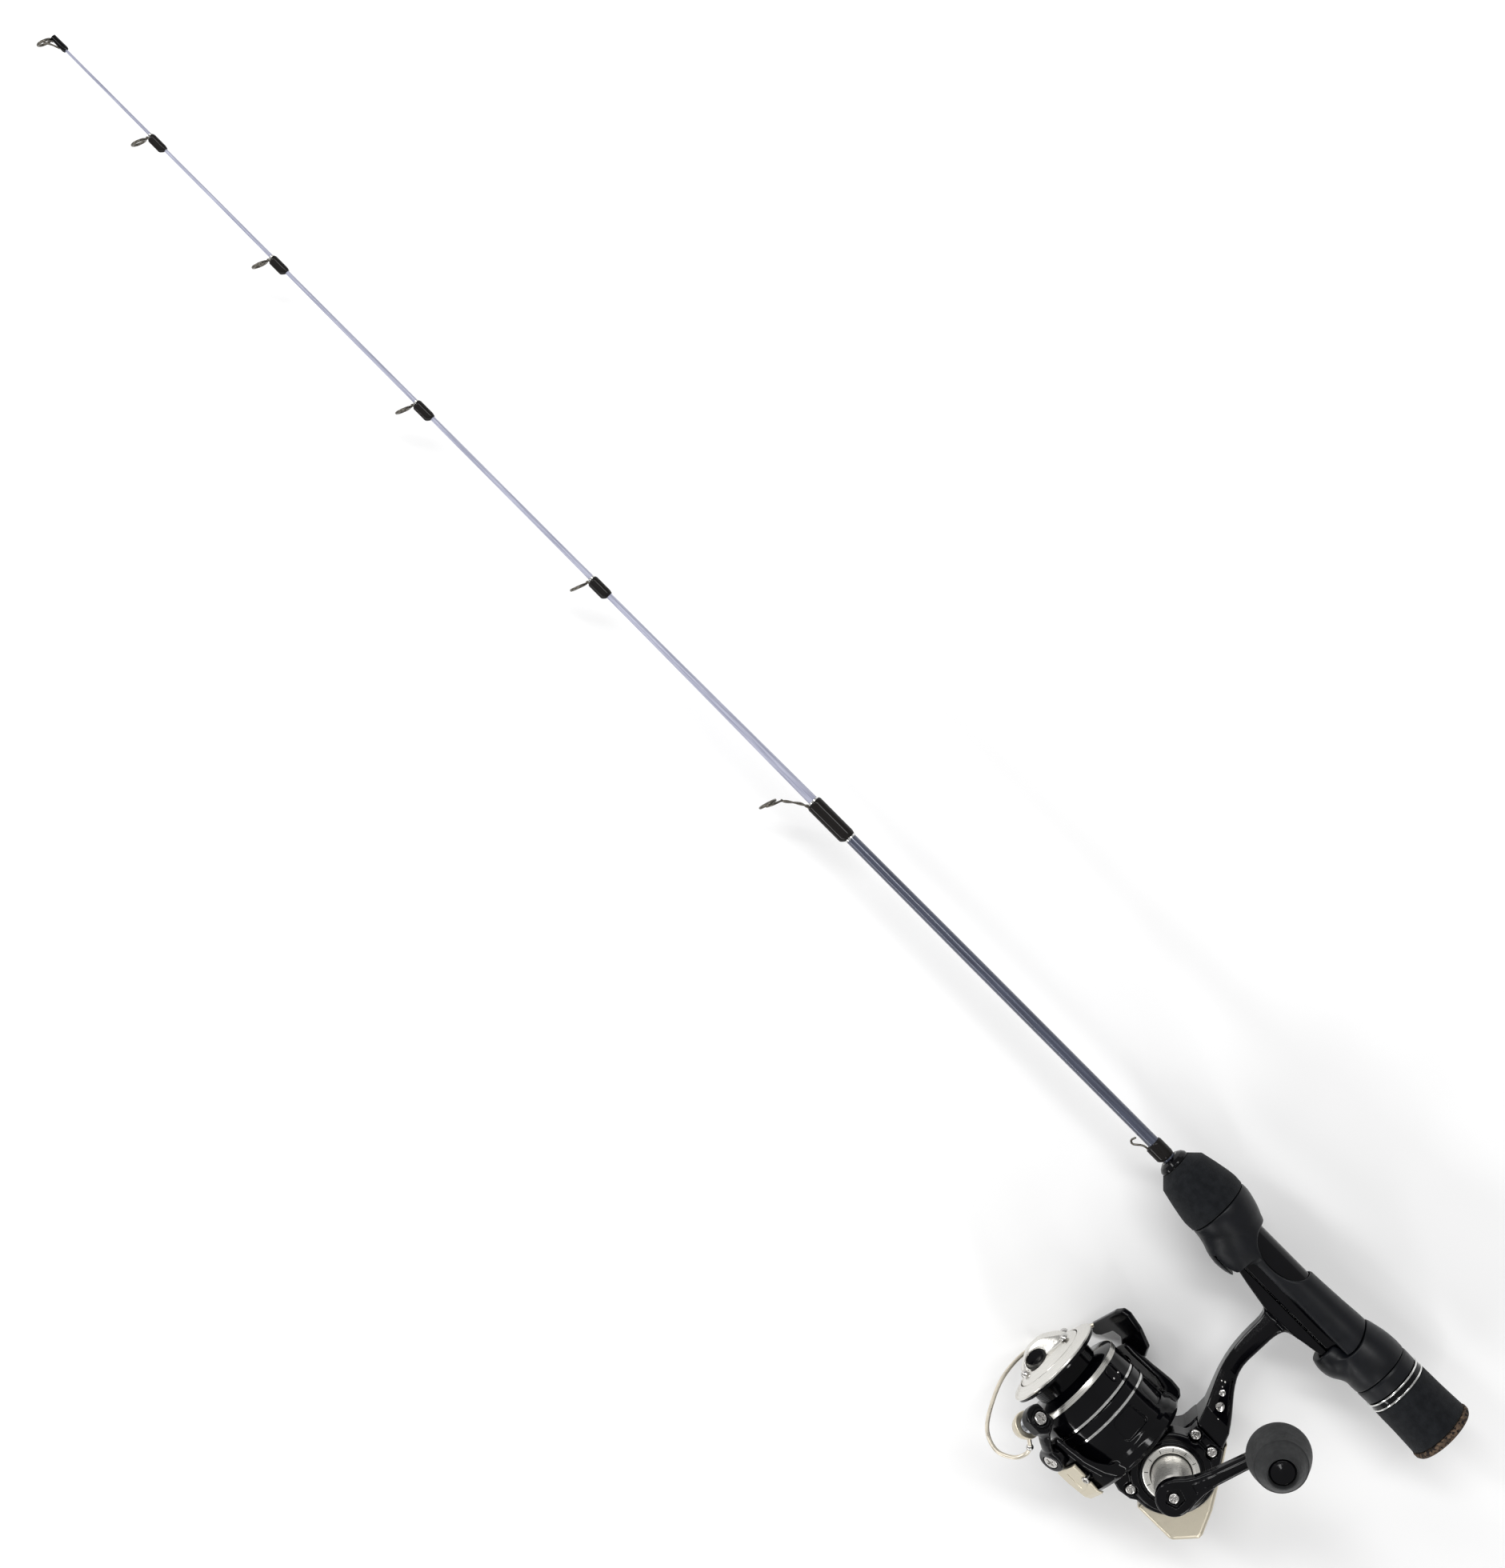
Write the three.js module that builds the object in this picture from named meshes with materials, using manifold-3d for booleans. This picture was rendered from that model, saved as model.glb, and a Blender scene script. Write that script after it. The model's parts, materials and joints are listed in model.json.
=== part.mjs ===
// Ice fishing rod with a small spinning reel, lying on its side.
// Units are millimetres. X runs along the rod from the tip (low X) to the butt, the reel hangs
// towards -Y, and the crank is on the upper side, +Z. Lengths along the rod are stations,
// measured from the tip. Y and Z are measured from the rod's axis until the last lines, which
// stand the whole object on its base.

import * as THREE from 'three';
import { mergeVertices } from 'three/addons/utils/BufferGeometryUtils.js';
import Module from 'manifold-3d';

const wasm = await Module();
wasm.setup();

// ---- driving dimensions ----

const GAP = 0.3; // clearance between neighbouring solids
const ROUND = 20; // sides of a large turned piece
const SMALL = 10; // sides of a small turned piece

const ROD_LENGTH = 711;
const FERRULE = 396; // where the tip section enters the butt section
const SPIGOT = 24; // length of the tip section inside the butt section
const SPIGOT_RADIUS = 1.15;
const BLANK_BORE = 1.45;
const BLANK_END = 688;
const BLANK_REAR_RADIUS = 2.4;
const TIP_TUBE = 7;

const GUIDES = [
  { station: 54, wrap: 7.5, ring: 3.1, drop: 4.9, lean: 21 },
  { station: 116, wrap: 7.5, ring: 3.2, drop: 5.1, lean: 21 },
  { station: 190, wrap: 8, ring: 3.25, drop: 5.4, lean: 21 },
  { station: 280, wrap: 8.5, ring: 3.3, drop: 5.8, lean: 21 },
  { station: 398, wrap: 18, ring: 3.6, drop: 12.6, lean: 17 },
];
const GUIDE_WIRE = 0.45;
const KEEPER = { station: 566, wrap: 7.5 };

const CHECK_START = 570.3;
const GRIP_START = 573.6;
const SEAT_START = 595.2;
const SEAT_END = 661;
const TUBE_END = 690;
const TUBE_RADIUS = 6.5;
const FOOT_TOP = 8.2; // depth of the reel foot's seat below the axis
const FOOT_HALF_WIDTH = 5.6;
const FOOT_START = 612.5;
const FOOT_END = 666.5;
const HOOD_START = 661.8;
const NUT_START = 677.9;
const COLLAR_START = 683.8;
const REAR_GRIP_START = 687.5;
const CAP_START = 707.9;

const SPOOL_Y = -83.2; // axis of the spool, shaft and rotor
const CRANK_X = 650.5;
const CRANK_Y = -78;
const CASE_RADIUS = 16.8;
const CASE_BACK = -13;
const CASE_SPLIT = 4;
const CASE_FRONT = 639.2;
const COVER_TOP = 12.5;
const BOSS_TOP = 15;
const COVER_LINE = -59;

const SHAFT_RADIUS = 1.9;
const STROKE = 6; // travel of the spool along its shaft axis
const ROTOR_TURN = THREE.MathUtils.degToRad(44); // where the rotor's arms stand
const BAIL_X = 616.6;
const BAIL_RADIUS = 28.3; // middle of the bail arms, from the spool axis

const DRIVE_TEETH = 31;
const PINION_TEETH = 6;
const CAM_TEETH = 10;
const DRIVE_RADIUS = 9;
const CAM_RADIUS = (DRIVE_RADIUS * CAM_TEETH) / DRIVE_TEETH;

const CRANK_REACH = { x: 11.4, y: 38.8 };
const ARM_Z = 37.5;
const KNOB_BASE = 43.3;

// ---- solids ----

function signedVolume(position, index) {
  const [a, b, c] = [new THREE.Vector3(), new THREE.Vector3(), new THREE.Vector3()];
  let sum = 0;
  for (let i = 0; i < index.length; i += 3) {
    a.fromBufferAttribute(position, index[i]);
    b.fromBufferAttribute(position, index[i + 1]);
    c.fromBufferAttribute(position, index[i + 2]);
    sum += a.dot(b.cross(c)) / 6;
  }
  return sum;
}

// A closed, outward-facing copy of a geometry, with shared vertices merged.
function closed(geometry) {
  const bare = geometry.clone();
  bare.deleteAttribute('normal');
  bare.deleteAttribute('uv');
  const merged = mergeVertices(bare, 1e-4);
  const index = merged.index.array;
  const kept = [];
  for (let i = 0; i < index.length; i += 3) {
    const corner = [index[i], index[i + 1], index[i + 2]];
    if (new Set(corner).size === 3) kept.push(...corner);
  }
  if (signedVolume(merged.attributes.position, kept) < 0) kept.reverse();
  merged.setIndex(kept);
  return merged;
}

function toSolid(geometry) {
  const vertProperties = new Float32Array(geometry.attributes.position.array);
  const triVerts = new Uint32Array(geometry.index.array);
  return new wasm.Manifold(new wasm.Mesh({ numProp: 3, vertProperties, triVerts }));
}

function toGeometry(solid) {
  const mesh = solid.getMesh();
  const geometry = new THREE.BufferGeometry();
  geometry.setAttribute('position', new THREE.BufferAttribute(mesh.vertProperties, 3));
  geometry.setIndex(new THREE.BufferAttribute(mesh.triVerts, 1));
  return geometry;
}

const join = (...parts) => toGeometry(parts.map(toSolid).reduce((all, next) => all.add(next)));
const cut = (body, ...tools) =>
  toGeometry(tools.map(toSolid).reduce((rest, tool) => rest.subtract(tool), toSolid(body)));
const common = (body, other) => toGeometry(toSolid(body).intersect(toSolid(other)));

// A solid turned about X or Z from [along, radius] points that start and end on the axis.
function turned(profile, axis = 'x', sides = ROUND) {
  const points = profile.map(([along, radius]) => new THREE.Vector2(radius, along));
  const geometry = closed(new THREE.LatheGeometry(points, sides));
  return axis === 'x' ? geometry.rotateZ(-Math.PI / 2) : geometry.rotateX(Math.PI / 2);
}

// A ring or sleeve turned from a profile that closes on itself.
const sleeve = (profile, axis, sides) => turned([...profile, profile[0]], axis, sides);

const rod = (from, to, radius, axis, sides) =>
  turned([[from, 0], [from, radius], [to, radius], [to, 0]], axis, sides);

const tube = (from, to, inner, outer, axis, sides) =>
  sleeve([[from, inner], [from, outer], [to, outer], [to, inner]], axis, sides);

function block(low, high) {
  const size = high.map((value, i) => value - low[i]);
  const middle = high.map((value, i) => (value + low[i]) / 2);
  return closed(new THREE.BoxGeometry(...size)).translate(...middle);
}

// A plate with an outline in XY, from one height to another.
function plate(shape, from, to, curveSegments = 6) {
  const settings = { depth: to - from, bevelEnabled: false, curveSegments };
  return closed(new THREE.ExtrudeGeometry(shape, settings)).translate(0, 0, from);
}

function polygon(points) {
  return new THREE.Shape(points.map(([x, y]) => new THREE.Vector2(x, y)));
}

// A bar of elliptical section along a smooth curve.
function bar(points, halfWidth, halfDepth = halfWidth, steps = 16, sides = 8) {
  const path = new THREE.CatmullRomCurve3(points.map((p) => new THREE.Vector3(...p)));
  const section = new THREE.Shape();
  section.absellipse(0, 0, halfWidth, halfDepth, 0, 2 * Math.PI);
  const settings = { extrudePath: path, steps, bevelEnabled: false, curveSegments: sides / 2 };
  return closed(new THREE.ExtrudeGeometry(section, settings));
}

function ball(x, y, z, [rx, ry, rz], sides = 14) {
  const geometry = closed(new THREE.SphereGeometry(1, sides, sides / 2));
  return geometry.scale(rx, ry, rz).translate(x, y, z);
}

function gearShape(teeth, radius, depth) {
  const points = [];
  const step = (2 * Math.PI) / teeth;
  for (let tooth = 0; tooth < teeth; tooth += 1) {
    const corners = [[-0.25, radius - depth], [0.25, radius]];
    for (const [turn, r] of corners) {
      const angle = (tooth + turn) * step;
      points.push([r * Math.cos(angle), r * Math.sin(angle)]);
    }
  }
  return polygon(points);
}

// A pan-head screw; the head's top is at height zero, facing +Z.
function screw(headRadius, headHeight, shankRadius, length) {
  const profile = [[-length, 0], [-length, shankRadius], [-headHeight, shankRadius]];
  profile.push([-headHeight, headRadius], [-headHeight * 0.4, headRadius]);
  profile.push([0, headRadius * 0.7], [0, 0]);
  return turned(profile, 'z', SMALL);
}

// ---- materials ----

const finish = (color, roughness, metalness) =>
  new THREE.MeshStandardMaterial({ color, roughness, metalness });

const glassTip = finish(0xb9bccd, 0.35, 0);
const slateBlank = finish(0x5b5d70, 0.35, 0.2);
const blackThread = finish(0x17130f, 0.12, 0);
const darkWire = finish(0x4a4741, 0.3, 0.9);
const foam = finish(0x262829, 0.95, 0);
const softTouch = finish(0x1d2127, 0.55, 0);
const pianoBlack = finish(0x0b0b10, 0.12, 0);
const champagne = finish(0xc9bda6, 0.35, 0.8);
const brushed = finish(0xb4b4b4, 0.3, 0.95);
const chrome = finish(0xd8d8d8, 0.12, 1);
const steel = finish(0x8d8f92, 0.35, 0.9);
const brass = finish(0xb08a4a, 0.35, 0.9);
const rubber = finish(0x2c2e2d, 0.8, 0);
const felt = finish(0x6b6357, 0.95, 0);
const corkRubber = finish(0x5a4233, 0.85, 0);

const whole = new THREE.Group();

function add(name, geometry, material, parent = whole) {
  const mesh = new THREE.Mesh(geometry, material);
  mesh.name = name;
  parent.add(mesh);
  return mesh;
}

function groupAt(x, y, z, turn = 0) {
  const group = new THREE.Group();
  group.position.set(x, y, z);
  group.rotation.x = turn;
  whole.add(group);
  return group;
}

// ---- blanks and guides ----

const TIP_TAPER = [[1.2, 0.5], [130, 0.78], [268, 1.05], [325, 1.38], [371, 1.75], [FERRULE - GAP, 1.93]];
const BUTT_TAPER = [[FERRULE, 2.05], [475, 2.3], [570, 2.35], [BLANK_END, BLANK_REAR_RADIUS]];

function blankRadius(station) {
  const taper = [...TIP_TAPER, ...BUTT_TAPER];
  const next = taper.findIndex(([at]) => at >= station);
  const [[x0, r0], [x1, r1]] = [taper[next - 1], taper[next]];
  return r0 + ((r1 - r0) * (station - x0)) / (x1 - x0);
}

function tipBlank() {
  const end = FERRULE + SPIGOT;
  return turned([[1.2, 0], ...TIP_TAPER, [FERRULE - GAP, SPIGOT_RADIUS], [end, SPIGOT_RADIUS], [end, 0]],
    'x', SMALL);
}

function buttBlank() {
  return sleeve([...BUTT_TAPER, [BLANK_END, BLANK_BORE], [FERRULE, BLANK_BORE]], 'x', SMALL);
}

function hoop(x, y, radius, lean) {
  const ring = closed(new THREE.TorusGeometry(radius - GUIDE_WIRE * 1.2, GUIDE_WIRE * 1.2, 6, 14));
  const tilt = THREE.MathUtils.degToRad(lean);
  return ring.rotateY(Math.PI / 2).rotateZ(-tilt).translate(x, y, 0);
}

function footCentre(station, length) {
  return -(blankRadius(station + length / 2) + GAP + GUIDE_WIRE);
}

// A single-foot guide: its foot lies under the thread, its leg leans forward to the ring.
function guide({ station, wrap, ring, drop, lean }) {
  const foot = footCentre(station, wrap);
  const front = station - wrap / 2;
  const tall = drop > 8;
  const reach = tall ? 11.2 : 1.6;
  const centre = [front - reach, -drop];
  const tilt = THREE.MathUtils.degToRad(lean);
  const top = [centre[0] + ring * Math.sin(tilt), centre[1] + ring * Math.cos(tilt)];
  const stem = [[station + wrap * 0.35, foot, 0], [front + 0.4, foot, 0], [front - 0.6, foot - 0.15, 0]];
  if (tall) stem.push([front - 3.5, foot - 1.6, 0], [front - 7.5, foot - 4.6, 0]);
  stem.push([top[0], top[1] - 0.2, 0]);
  const parts = [hoop(...centre, ring, lean), bar(stem, GUIDE_WIRE, GUIDE_WIRE, tall ? 12 : 6, 6)];
  if (tall) {
    for (const side of [-1, 1]) {
      const leg = [[top[0] + 1.3, top[1] + 0.8, side * 0.3], [top[0] + 0.6, top[1] - 1.6, side * 2.6]];
      leg.push([centre[0] + 0.4, centre[1] - 0.6, side * (ring - GUIDE_WIRE)]);
      parts.push(bar(leg, GUIDE_WIRE * 0.8, GUIDE_WIRE * 0.8, 5, 6));
    }
  }
  return join(...parts);
}

// Thread round the blank and round a foot that lies along its lower side.
function wrapping({ station, wrap }) {
  const [from, to] = [station - wrap / 2, station + wrap / 2];
  const radius = blankRadius(to);
  const foot = footCentre(station, wrap);
  const cover = 0.32;
  const over = rod(from, to, radius + 0.25 + cover, 'x', SMALL);
  const bump = rod(from, to, GUIDE_WIRE + GAP + cover, 'x', SMALL).translate(0, foot, 0);
  const bore = rod(from - 1, to + 1, radius + 0.25, 'x', SMALL);
  const channel = rod(from - 1, to + 1, GUIDE_WIRE + GAP, 'x', 12).translate(0, foot, 0);
  return cut(join(over, bump), bore, channel);
}

function tipTop() {
  const lean = 20;
  const ring = 3;
  const centre = [-0.9, -3.6];
  const shell = sleeve([[0, 0.85], [0, 1.2], [TIP_TUBE - 0.8, 1.25], [TIP_TUBE, 1.05], [TIP_TUBE, 0.85]],
    'x', SMALL);
  const nose = [[1.2, -1.2, 0], [0.2, -1.4, 0], [centre[0] + 0.9, centre[1] + 2.4, 0]];
  const legs = [-1, 1].map((side) => bar(
    [[4.5, -1.25, side * 0.5], [1.8, -2.2, side * 1.5], [centre[0] + 0.1, centre[1], side * (ring - 0.5)]],
    GUIDE_WIRE * 0.8, GUIDE_WIRE * 0.8, 5, 6));
  return join(shell, hoop(...centre, ring, lean), bar(nose, GUIDE_WIRE, GUIDE_WIRE, 4, 6), ...legs);
}

function hookKeeper({ station, wrap }) {
  const foot = footCentre(station, wrap);
  const from = station - wrap / 2;
  const loop = [[station + wrap * 0.35, foot, 0], [from + 0.4, foot, 0], [from - 2, foot - 0.6, 0]];
  loop.push([from - 4.6, foot - 2.6, 0], [from - 6, foot - 2, 0], [from - 5.6, foot - 0.3, 0]);
  return bar(loop, GUIDE_WIRE * 0.9, GUIDE_WIRE * 0.9, 14, 6);
}

add('tip_blank', tipBlank(), glassTip);
add('butt_blank', buttBlank(), slateBlank);
add('tip_top', tipTop(), darkWire);
GUIDES.forEach((spec, i) => {
  add(`guide_${i + 2}`, guide(spec), darkWire);
  add(`guide_wrap_${i + 2}`, wrapping(spec), blackThread);
});
add('hook_keeper', hookKeeper(KEEPER), darkWire);
add('keeper_wrap', wrapping(KEEPER), blackThread);

// ---- front of the handle ----

const BLANK_CLEAR = BLANK_REAR_RADIUS + GAP;

function windingCheck() {
  const end = GRIP_START - GAP;
  return sleeve([[CHECK_START, BLANK_CLEAR], [CHECK_START, 3.6], [CHECK_START + 0.9, 5.1],
    [CHECK_START + 2, 5.9], [end, 6], [end, BLANK_CLEAR]], 'x', ROUND);
}

function foreGrip() {
  const end = SEAT_START - GAP;
  return sleeve([[GRIP_START, BLANK_CLEAR], [GRIP_START, 6.2], [577.3, 9.8], [584, 11.3], [590.5, 12.4],
    [end - 0.6, 12.3], [end, 11.9], [end, BLANK_CLEAR]]);
}

// The seat's glossy core: a tube with a flat cradle under the reel foot.
function seatTube() {
  const core = rod(SEAT_START + 5, TUBE_END, TUBE_RADIUS);
  const cradle = block([FOOT_START - 6, GAP - FOOT_TOP, -5.2], [SEAT_END - 1, 0, 5.2]);
  return cut(join(core, cradle), rod(SEAT_START, TUBE_END + 1, BLANK_CLEAR, 'x', ROUND));
}

// The soft-touch shell: a bulb behind the fore grip, a hood over the foot's front end and a
// barrel that leaves the tube bare on top.
function seatBody() {
  const outer = turned([[SEAT_START, 0], [SEAT_START, 11.9], [596, 12.3], [599, 12.1], [604, 10.8],
    [608, 9.2], [612, 7.9], [618, 7.4], [634, 7.4], [650, 8.3], [SEAT_END, 9.1], [SEAT_END, 0]]);
  const hood = ball(609.5, -5, 0, [13.8, 10, 9.3]);
  const hoodTrim = block([590, -30, -15], [616.4, 0, 15]);
  const bore = rod(SEAT_START + 5 - GAP, SEAT_END + 1, TUBE_RADIUS + GAP);
  const blankBore = rod(SEAT_START - 1, SEAT_START + 7, BLANK_CLEAR, 'x', ROUND);
  const window = ball(622.5, 7, 0, [12.5, 8.2, 30]);
  const footSlot = block([FOOT_START - 6 - GAP, -30, -FOOT_HALF_WIDTH - GAP],
    [FOOT_START + 60, 0, FOOT_HALF_WIDTH + GAP]);
  const footRoom = common(footSlot, block([600, -12.9, -15], [700, 0, 15]));
  const underside = plate(polygon([[619, -40], [619, -12], [623, -9], [630, -5.2], [638, -3.6],
    [SEAT_END + 1, -3.6], [SEAT_END + 1, -40]]), -20, 20);
  return cut(join(outer, common(hood, hoodTrim)), bore, blankBore, window, footRoom, underside);
}

add('winding_check', windingCheck(), pianoBlack);
add('fore_grip', foreGrip(), foam);
add('seat_tube', seatTube(), pianoBlack);
add('seat_body', seatBody(), softTouch);

// ---- rear of the handle: a sliding hood, driven by a twist grip ----

const TUBE_CLEAR = TUBE_RADIUS + GAP;

function rearHood() {
  const outer = turned([[HOOD_START, 0], [HOOD_START, 9.2], [664, 10.3], [669, 11.3], [674, 11.7],
    [NUT_START - GAP, 11.6], [NUT_START - GAP, 0]]);
  const lobe = common(ball(663, -8.6, 0, [9.2, 6.8, 8.6]), block([658.6, -30, -20], [677, -2, 20]));
  const bore = rod(650, NUT_START + 1, TUBE_CLEAR);
  const pocket = block([650, -11.6, -FOOT_HALF_WIDTH - GAP], [FOOT_END + GAP, 0, FOOT_HALF_WIDTH + GAP]);
  return cut(join(outer, lobe), bore, pocket);
}

function turnedOnTube(profile) {
  const [from] = profile[0];
  const [to] = profile[profile.length - 1];
  return sleeve([[from, TUBE_CLEAR], ...profile, [to, TUBE_CLEAR]]);
}

function lockNut() {
  return turnedOnTube([[NUT_START, 11.4], [NUT_START + 1, 11.6], [COLLAR_START - GAP, 11.5]]);
}

function trimCollar() {
  const end = REAR_GRIP_START - GAP;
  return turnedOnTube([[COLLAR_START, 11.9], [COLLAR_START + 0.7, 11.9], [COLLAR_START + 0.75, 11.6],
    [end - 0.75, 11.6], [end - 0.7, 11.9], [end, 11.9]]);
}

function rearGrip() {
  const end = CAP_START - GAP;
  return turnedOnTube([[REAR_GRIP_START, 11.5], [REAR_GRIP_START + 0.4, 11.8], [698, 12],
    [end - 0.3, 12.4], [end, 12.2]]);
}

function buttCap() {
  return turned([[CAP_START, 0], [CAP_START, 12.5], [CAP_START + 0.4, 12.8], [ROD_LENGTH - 1.4, 12.8],
    [ROD_LENGTH - 0.4, 12.2], [ROD_LENGTH, 11], [ROD_LENGTH, 0]]);
}

add('rear_hood', rearHood(), softTouch);
add('lock_nut', lockNut(), softTouch);
add('trim_collar', trimCollar(), chrome);
add('rear_grip', rearGrip(), foam);
add('butt_cap', buttCap(), corkRubber);

// ---- reel case ----

// Outline of the gear case: a round end about the crank axis, a straight front behind the
// rotor and a neck that narrows into the stem.
function caseShape(grow = 0) {
  const radius = CASE_RADIUS + grow;
  const front = CASE_FRONT - grow;
  const shape = new THREE.Shape();
  shape.moveTo(645 - grow, COVER_LINE + grow);
  shape.lineTo(645.3 - grow, -62.5);
  shape.quadraticCurveTo(644.5 - grow, -66, 642.2 - grow, -68);
  shape.lineTo(front, -70.5);
  shape.lineTo(front, -96 - grow);
  shape.lineTo(643, -97 - grow);
  shape.lineTo(648, -96.2 - grow);
  shape.absarc(CRANK_X, CRANK_Y, radius, -1.6, 0.69, false);
  shape.lineTo(657.8 + grow, COVER_LINE + grow);
  return shape;
}

function stemShape() {
  const shape = new THREE.Shape();
  shape.moveTo(631.5, -12.2);
  shape.quadraticCurveTo(634.6, -14, 634.8, -19);
  shape.lineTo(635.2, -31);
  shape.bezierCurveTo(635.6, -40, 640.5, -46, 643.6, -53.5);
  shape.lineTo(645, COVER_LINE);
  shape.lineTo(645, -64);
  shape.lineTo(660, -64);
  shape.lineTo(657.8, COVER_LINE);
  shape.lineTo(656.5, -54.4);
  shape.bezierCurveTo(651, -45.5, 642.8, -41, 642.6, -31);
  shape.lineTo(642.6, -19);
  shape.quadraticCurveTo(642.8, -14, 646.2, -12.2);
  return shape;
}

function footShape() {
  return polygon([[FOOT_START, -FOOT_TOP], [FOOT_END, -FOOT_TOP], [FOOT_END, -9.6], [656, -11.2],
    [646, -12.8], [631, -13], [622, -11.5], [FOOT_START, -9.6]]);
}

// Depth of the stem and case across Z, as an outline in (Z, Y) swept along X.
function depthEnvelope() {
  const outline = polygon([[-4.2, -8], [-4.2, -38], [-7, -53], [CASE_BACK, -61], [CASE_BACK, -100],
    [CASE_SPLIT, -100], [CASE_SPLIT, COVER_LINE - GAP], [11.2, COVER_LINE - GAP], [10.4, COVER_LINE + 1.5],
    [7, -52], [4.2, -38], [4.2, -8]]);
  return plate(outline, -700, -600).rotateY(-Math.PI / 2);
}

function gearRoom() {
  const wall = 1.5;
  const round = rod(CASE_BACK + 2, BOSS_TOP - 3.5, CASE_RADIUS - wall, 'z').translate(CRANK_X, CRANK_Y, 0);
  const front = block([643, -91.5, CASE_BACK + 2], [CRANK_X, -66.5, CASE_SPLIT + 4]);
  return join(round, front);
}

const screwSpots = [[646.9, -62.3], [655.4, -62.6], [645.5, -93.2]];

function reelBody() {
  const outline = join(plate(caseShape(), -20, 20), plate(stemShape(), -20, 20));
  const stem = common(outline, depthEnvelope());
  const foot = plate(footShape(), -FOOT_HALF_WIDTH, FOOT_HALF_WIDTH);
  const snout = rod(634.5, 641, 9.4).translate(0, SPOOL_Y, 0);
  const boss = cut(snout, block([CASE_FRONT - GAP, -100, CASE_SPLIT], [650, -60, 20]));
  const clutchSeat = rod(630, 638.8, 8.3, 'x', ROUND).translate(0, SPOOL_Y, 0);
  const bearingSeat = rod(630, 641.4, 6.8, 'x', ROUND).translate(0, SPOOL_Y, 0);
  const passage = rod(630, 645, 4, 'x', ROUND).translate(0, SPOOL_Y, 0);
  const crankSeat = rod(CASE_BACK + 0.6, 0, 5.3, 'z', ROUND).translate(CRANK_X, CRANK_Y, 0);
  const holes = screwSpots.map(([x, y]) => rod(-6, 30, 1, 'z', 12).translate(x, y, 0));
  return cut(join(stem, foot, boss), gearRoom(), clutchSeat, bearingSeat, passage, crankSeat, ...holes);
}

function sideCover() {
  const low = CASE_SPLIT + GAP;
  const lid = plate(caseShape(), low, COVER_TOP);
  const top = common(lid, block([600, -120, 0], [700, COVER_LINE - 2 * GAP, 30]));
  const drum = rod(low + 1, BOSS_TOP, 14.8, 'z').translate(CRANK_X, CRANK_Y, 0);
  const boss = common(drum, block([CASE_FRONT, -100, 0], [670, -60, 20]));
  const bore = rod(0, 20, 3.2, 'z', ROUND).translate(CRANK_X, CRANK_Y, 0);
  const bearingSeat = rod(5, BOSS_TOP - 1.2, 5.3, 'z', ROUND).translate(CRANK_X, CRANK_Y, 0);
  const seats = screwSpots.flatMap(([x, y]) => [
    rod(0, 20, 1, 'z', 12).translate(x, y, 0),
    rod(COVER_TOP - 1, 20, 2.4, 'z', SMALL).translate(x, y, 0),
  ]);
  return cut(join(top, boss), gearRoom(), bore, bearingSeat, ...seats);
}

function rearGuard() {
  const outer = polygon([[657, -55.2], [666.2, -68.6], [672.5, -78.5], [676.6, -87.2], [676.8, -89.2],
    [670.6, -96.6], [669.2, -97.2], [653, -97.4], [652, -90]]);
  const slab = plate(outer, -11.5, 9);
  return cut(slab, plate(caseShape(GAP + 0.1), -30, 30, 6), plate(stemShape(), -30, 30),
    block([640, COVER_LINE - 2, -30], [658.4, -40, 30]));
}

add('reel_body', reelBody(), pianoBlack);
add('side_cover', sideCover(), pianoBlack);
add('rear_guard', rearGuard(), champagne);
screwSpots.forEach(([x, y], i) => {
  const head = screw(2, 1.2, 0.7, 12);
  add(`cover_screw_${i + 1}`, head.translate(x, y, COVER_TOP + 0.5), chrome);
});

const crankSide = groupAt(CRANK_X, CRANK_Y, 0);
add('dial_ring', tube(BOSS_TOP + GAP, BOSS_TOP + 1.3, 7.7, 10.3, 'z'), brushed, crankSide);
add('crank_bearing_upper', tube(BOSS_TOP - 4, BOSS_TOP - 1.5, 2.7, 5, 'z', ROUND), steel, crankSide);
add('crank_bearing_lower', tube(CASE_BACK + 1, CASE_BACK + 3.5, 2.7, 5, 'z', ROUND), steel, crankSide);

const spoolSide = groupAt(0, SPOOL_Y, 0, -ROTOR_TURN);
add('anti_reverse_clutch', tube(634.8, 638.5, 3.4, 8, 'x', ROUND), steel, spoolSide);
add('pinion_bearing', tube(638.9, 641.1, 3.4, 6.5, 'x', ROUND), steel, spoolSide);

// ---- crank, drive gear and knob ----

function driveGear() {
  const wheel = plate(gearShape(DRIVE_TEETH, DRIVE_RADIUS, 0.8), -8, -4.2);
  const axle = rod(CASE_BACK + 1, BOSS_TOP + 2.4, 2.4, 'z', ROUND);
  return join(wheel, rod(-9, -3.4, 4.4, 'z', ROUND), axle);
}

function crankHub() {
  const top = ARM_Z - GAP;
  return cut(turned([[BOSS_TOP + GAP, 0], [BOSS_TOP + GAP, 7.2], [18, 7.3], [top - 1.5, 6.6], [top, 6.2],
    [top, 0]], 'z'), rod(10, BOSS_TOP + 2.4 + GAP, 2.4 + GAP, 'z', ROUND), rod(30, 60, 1.5, 'z', 12));
}

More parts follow.
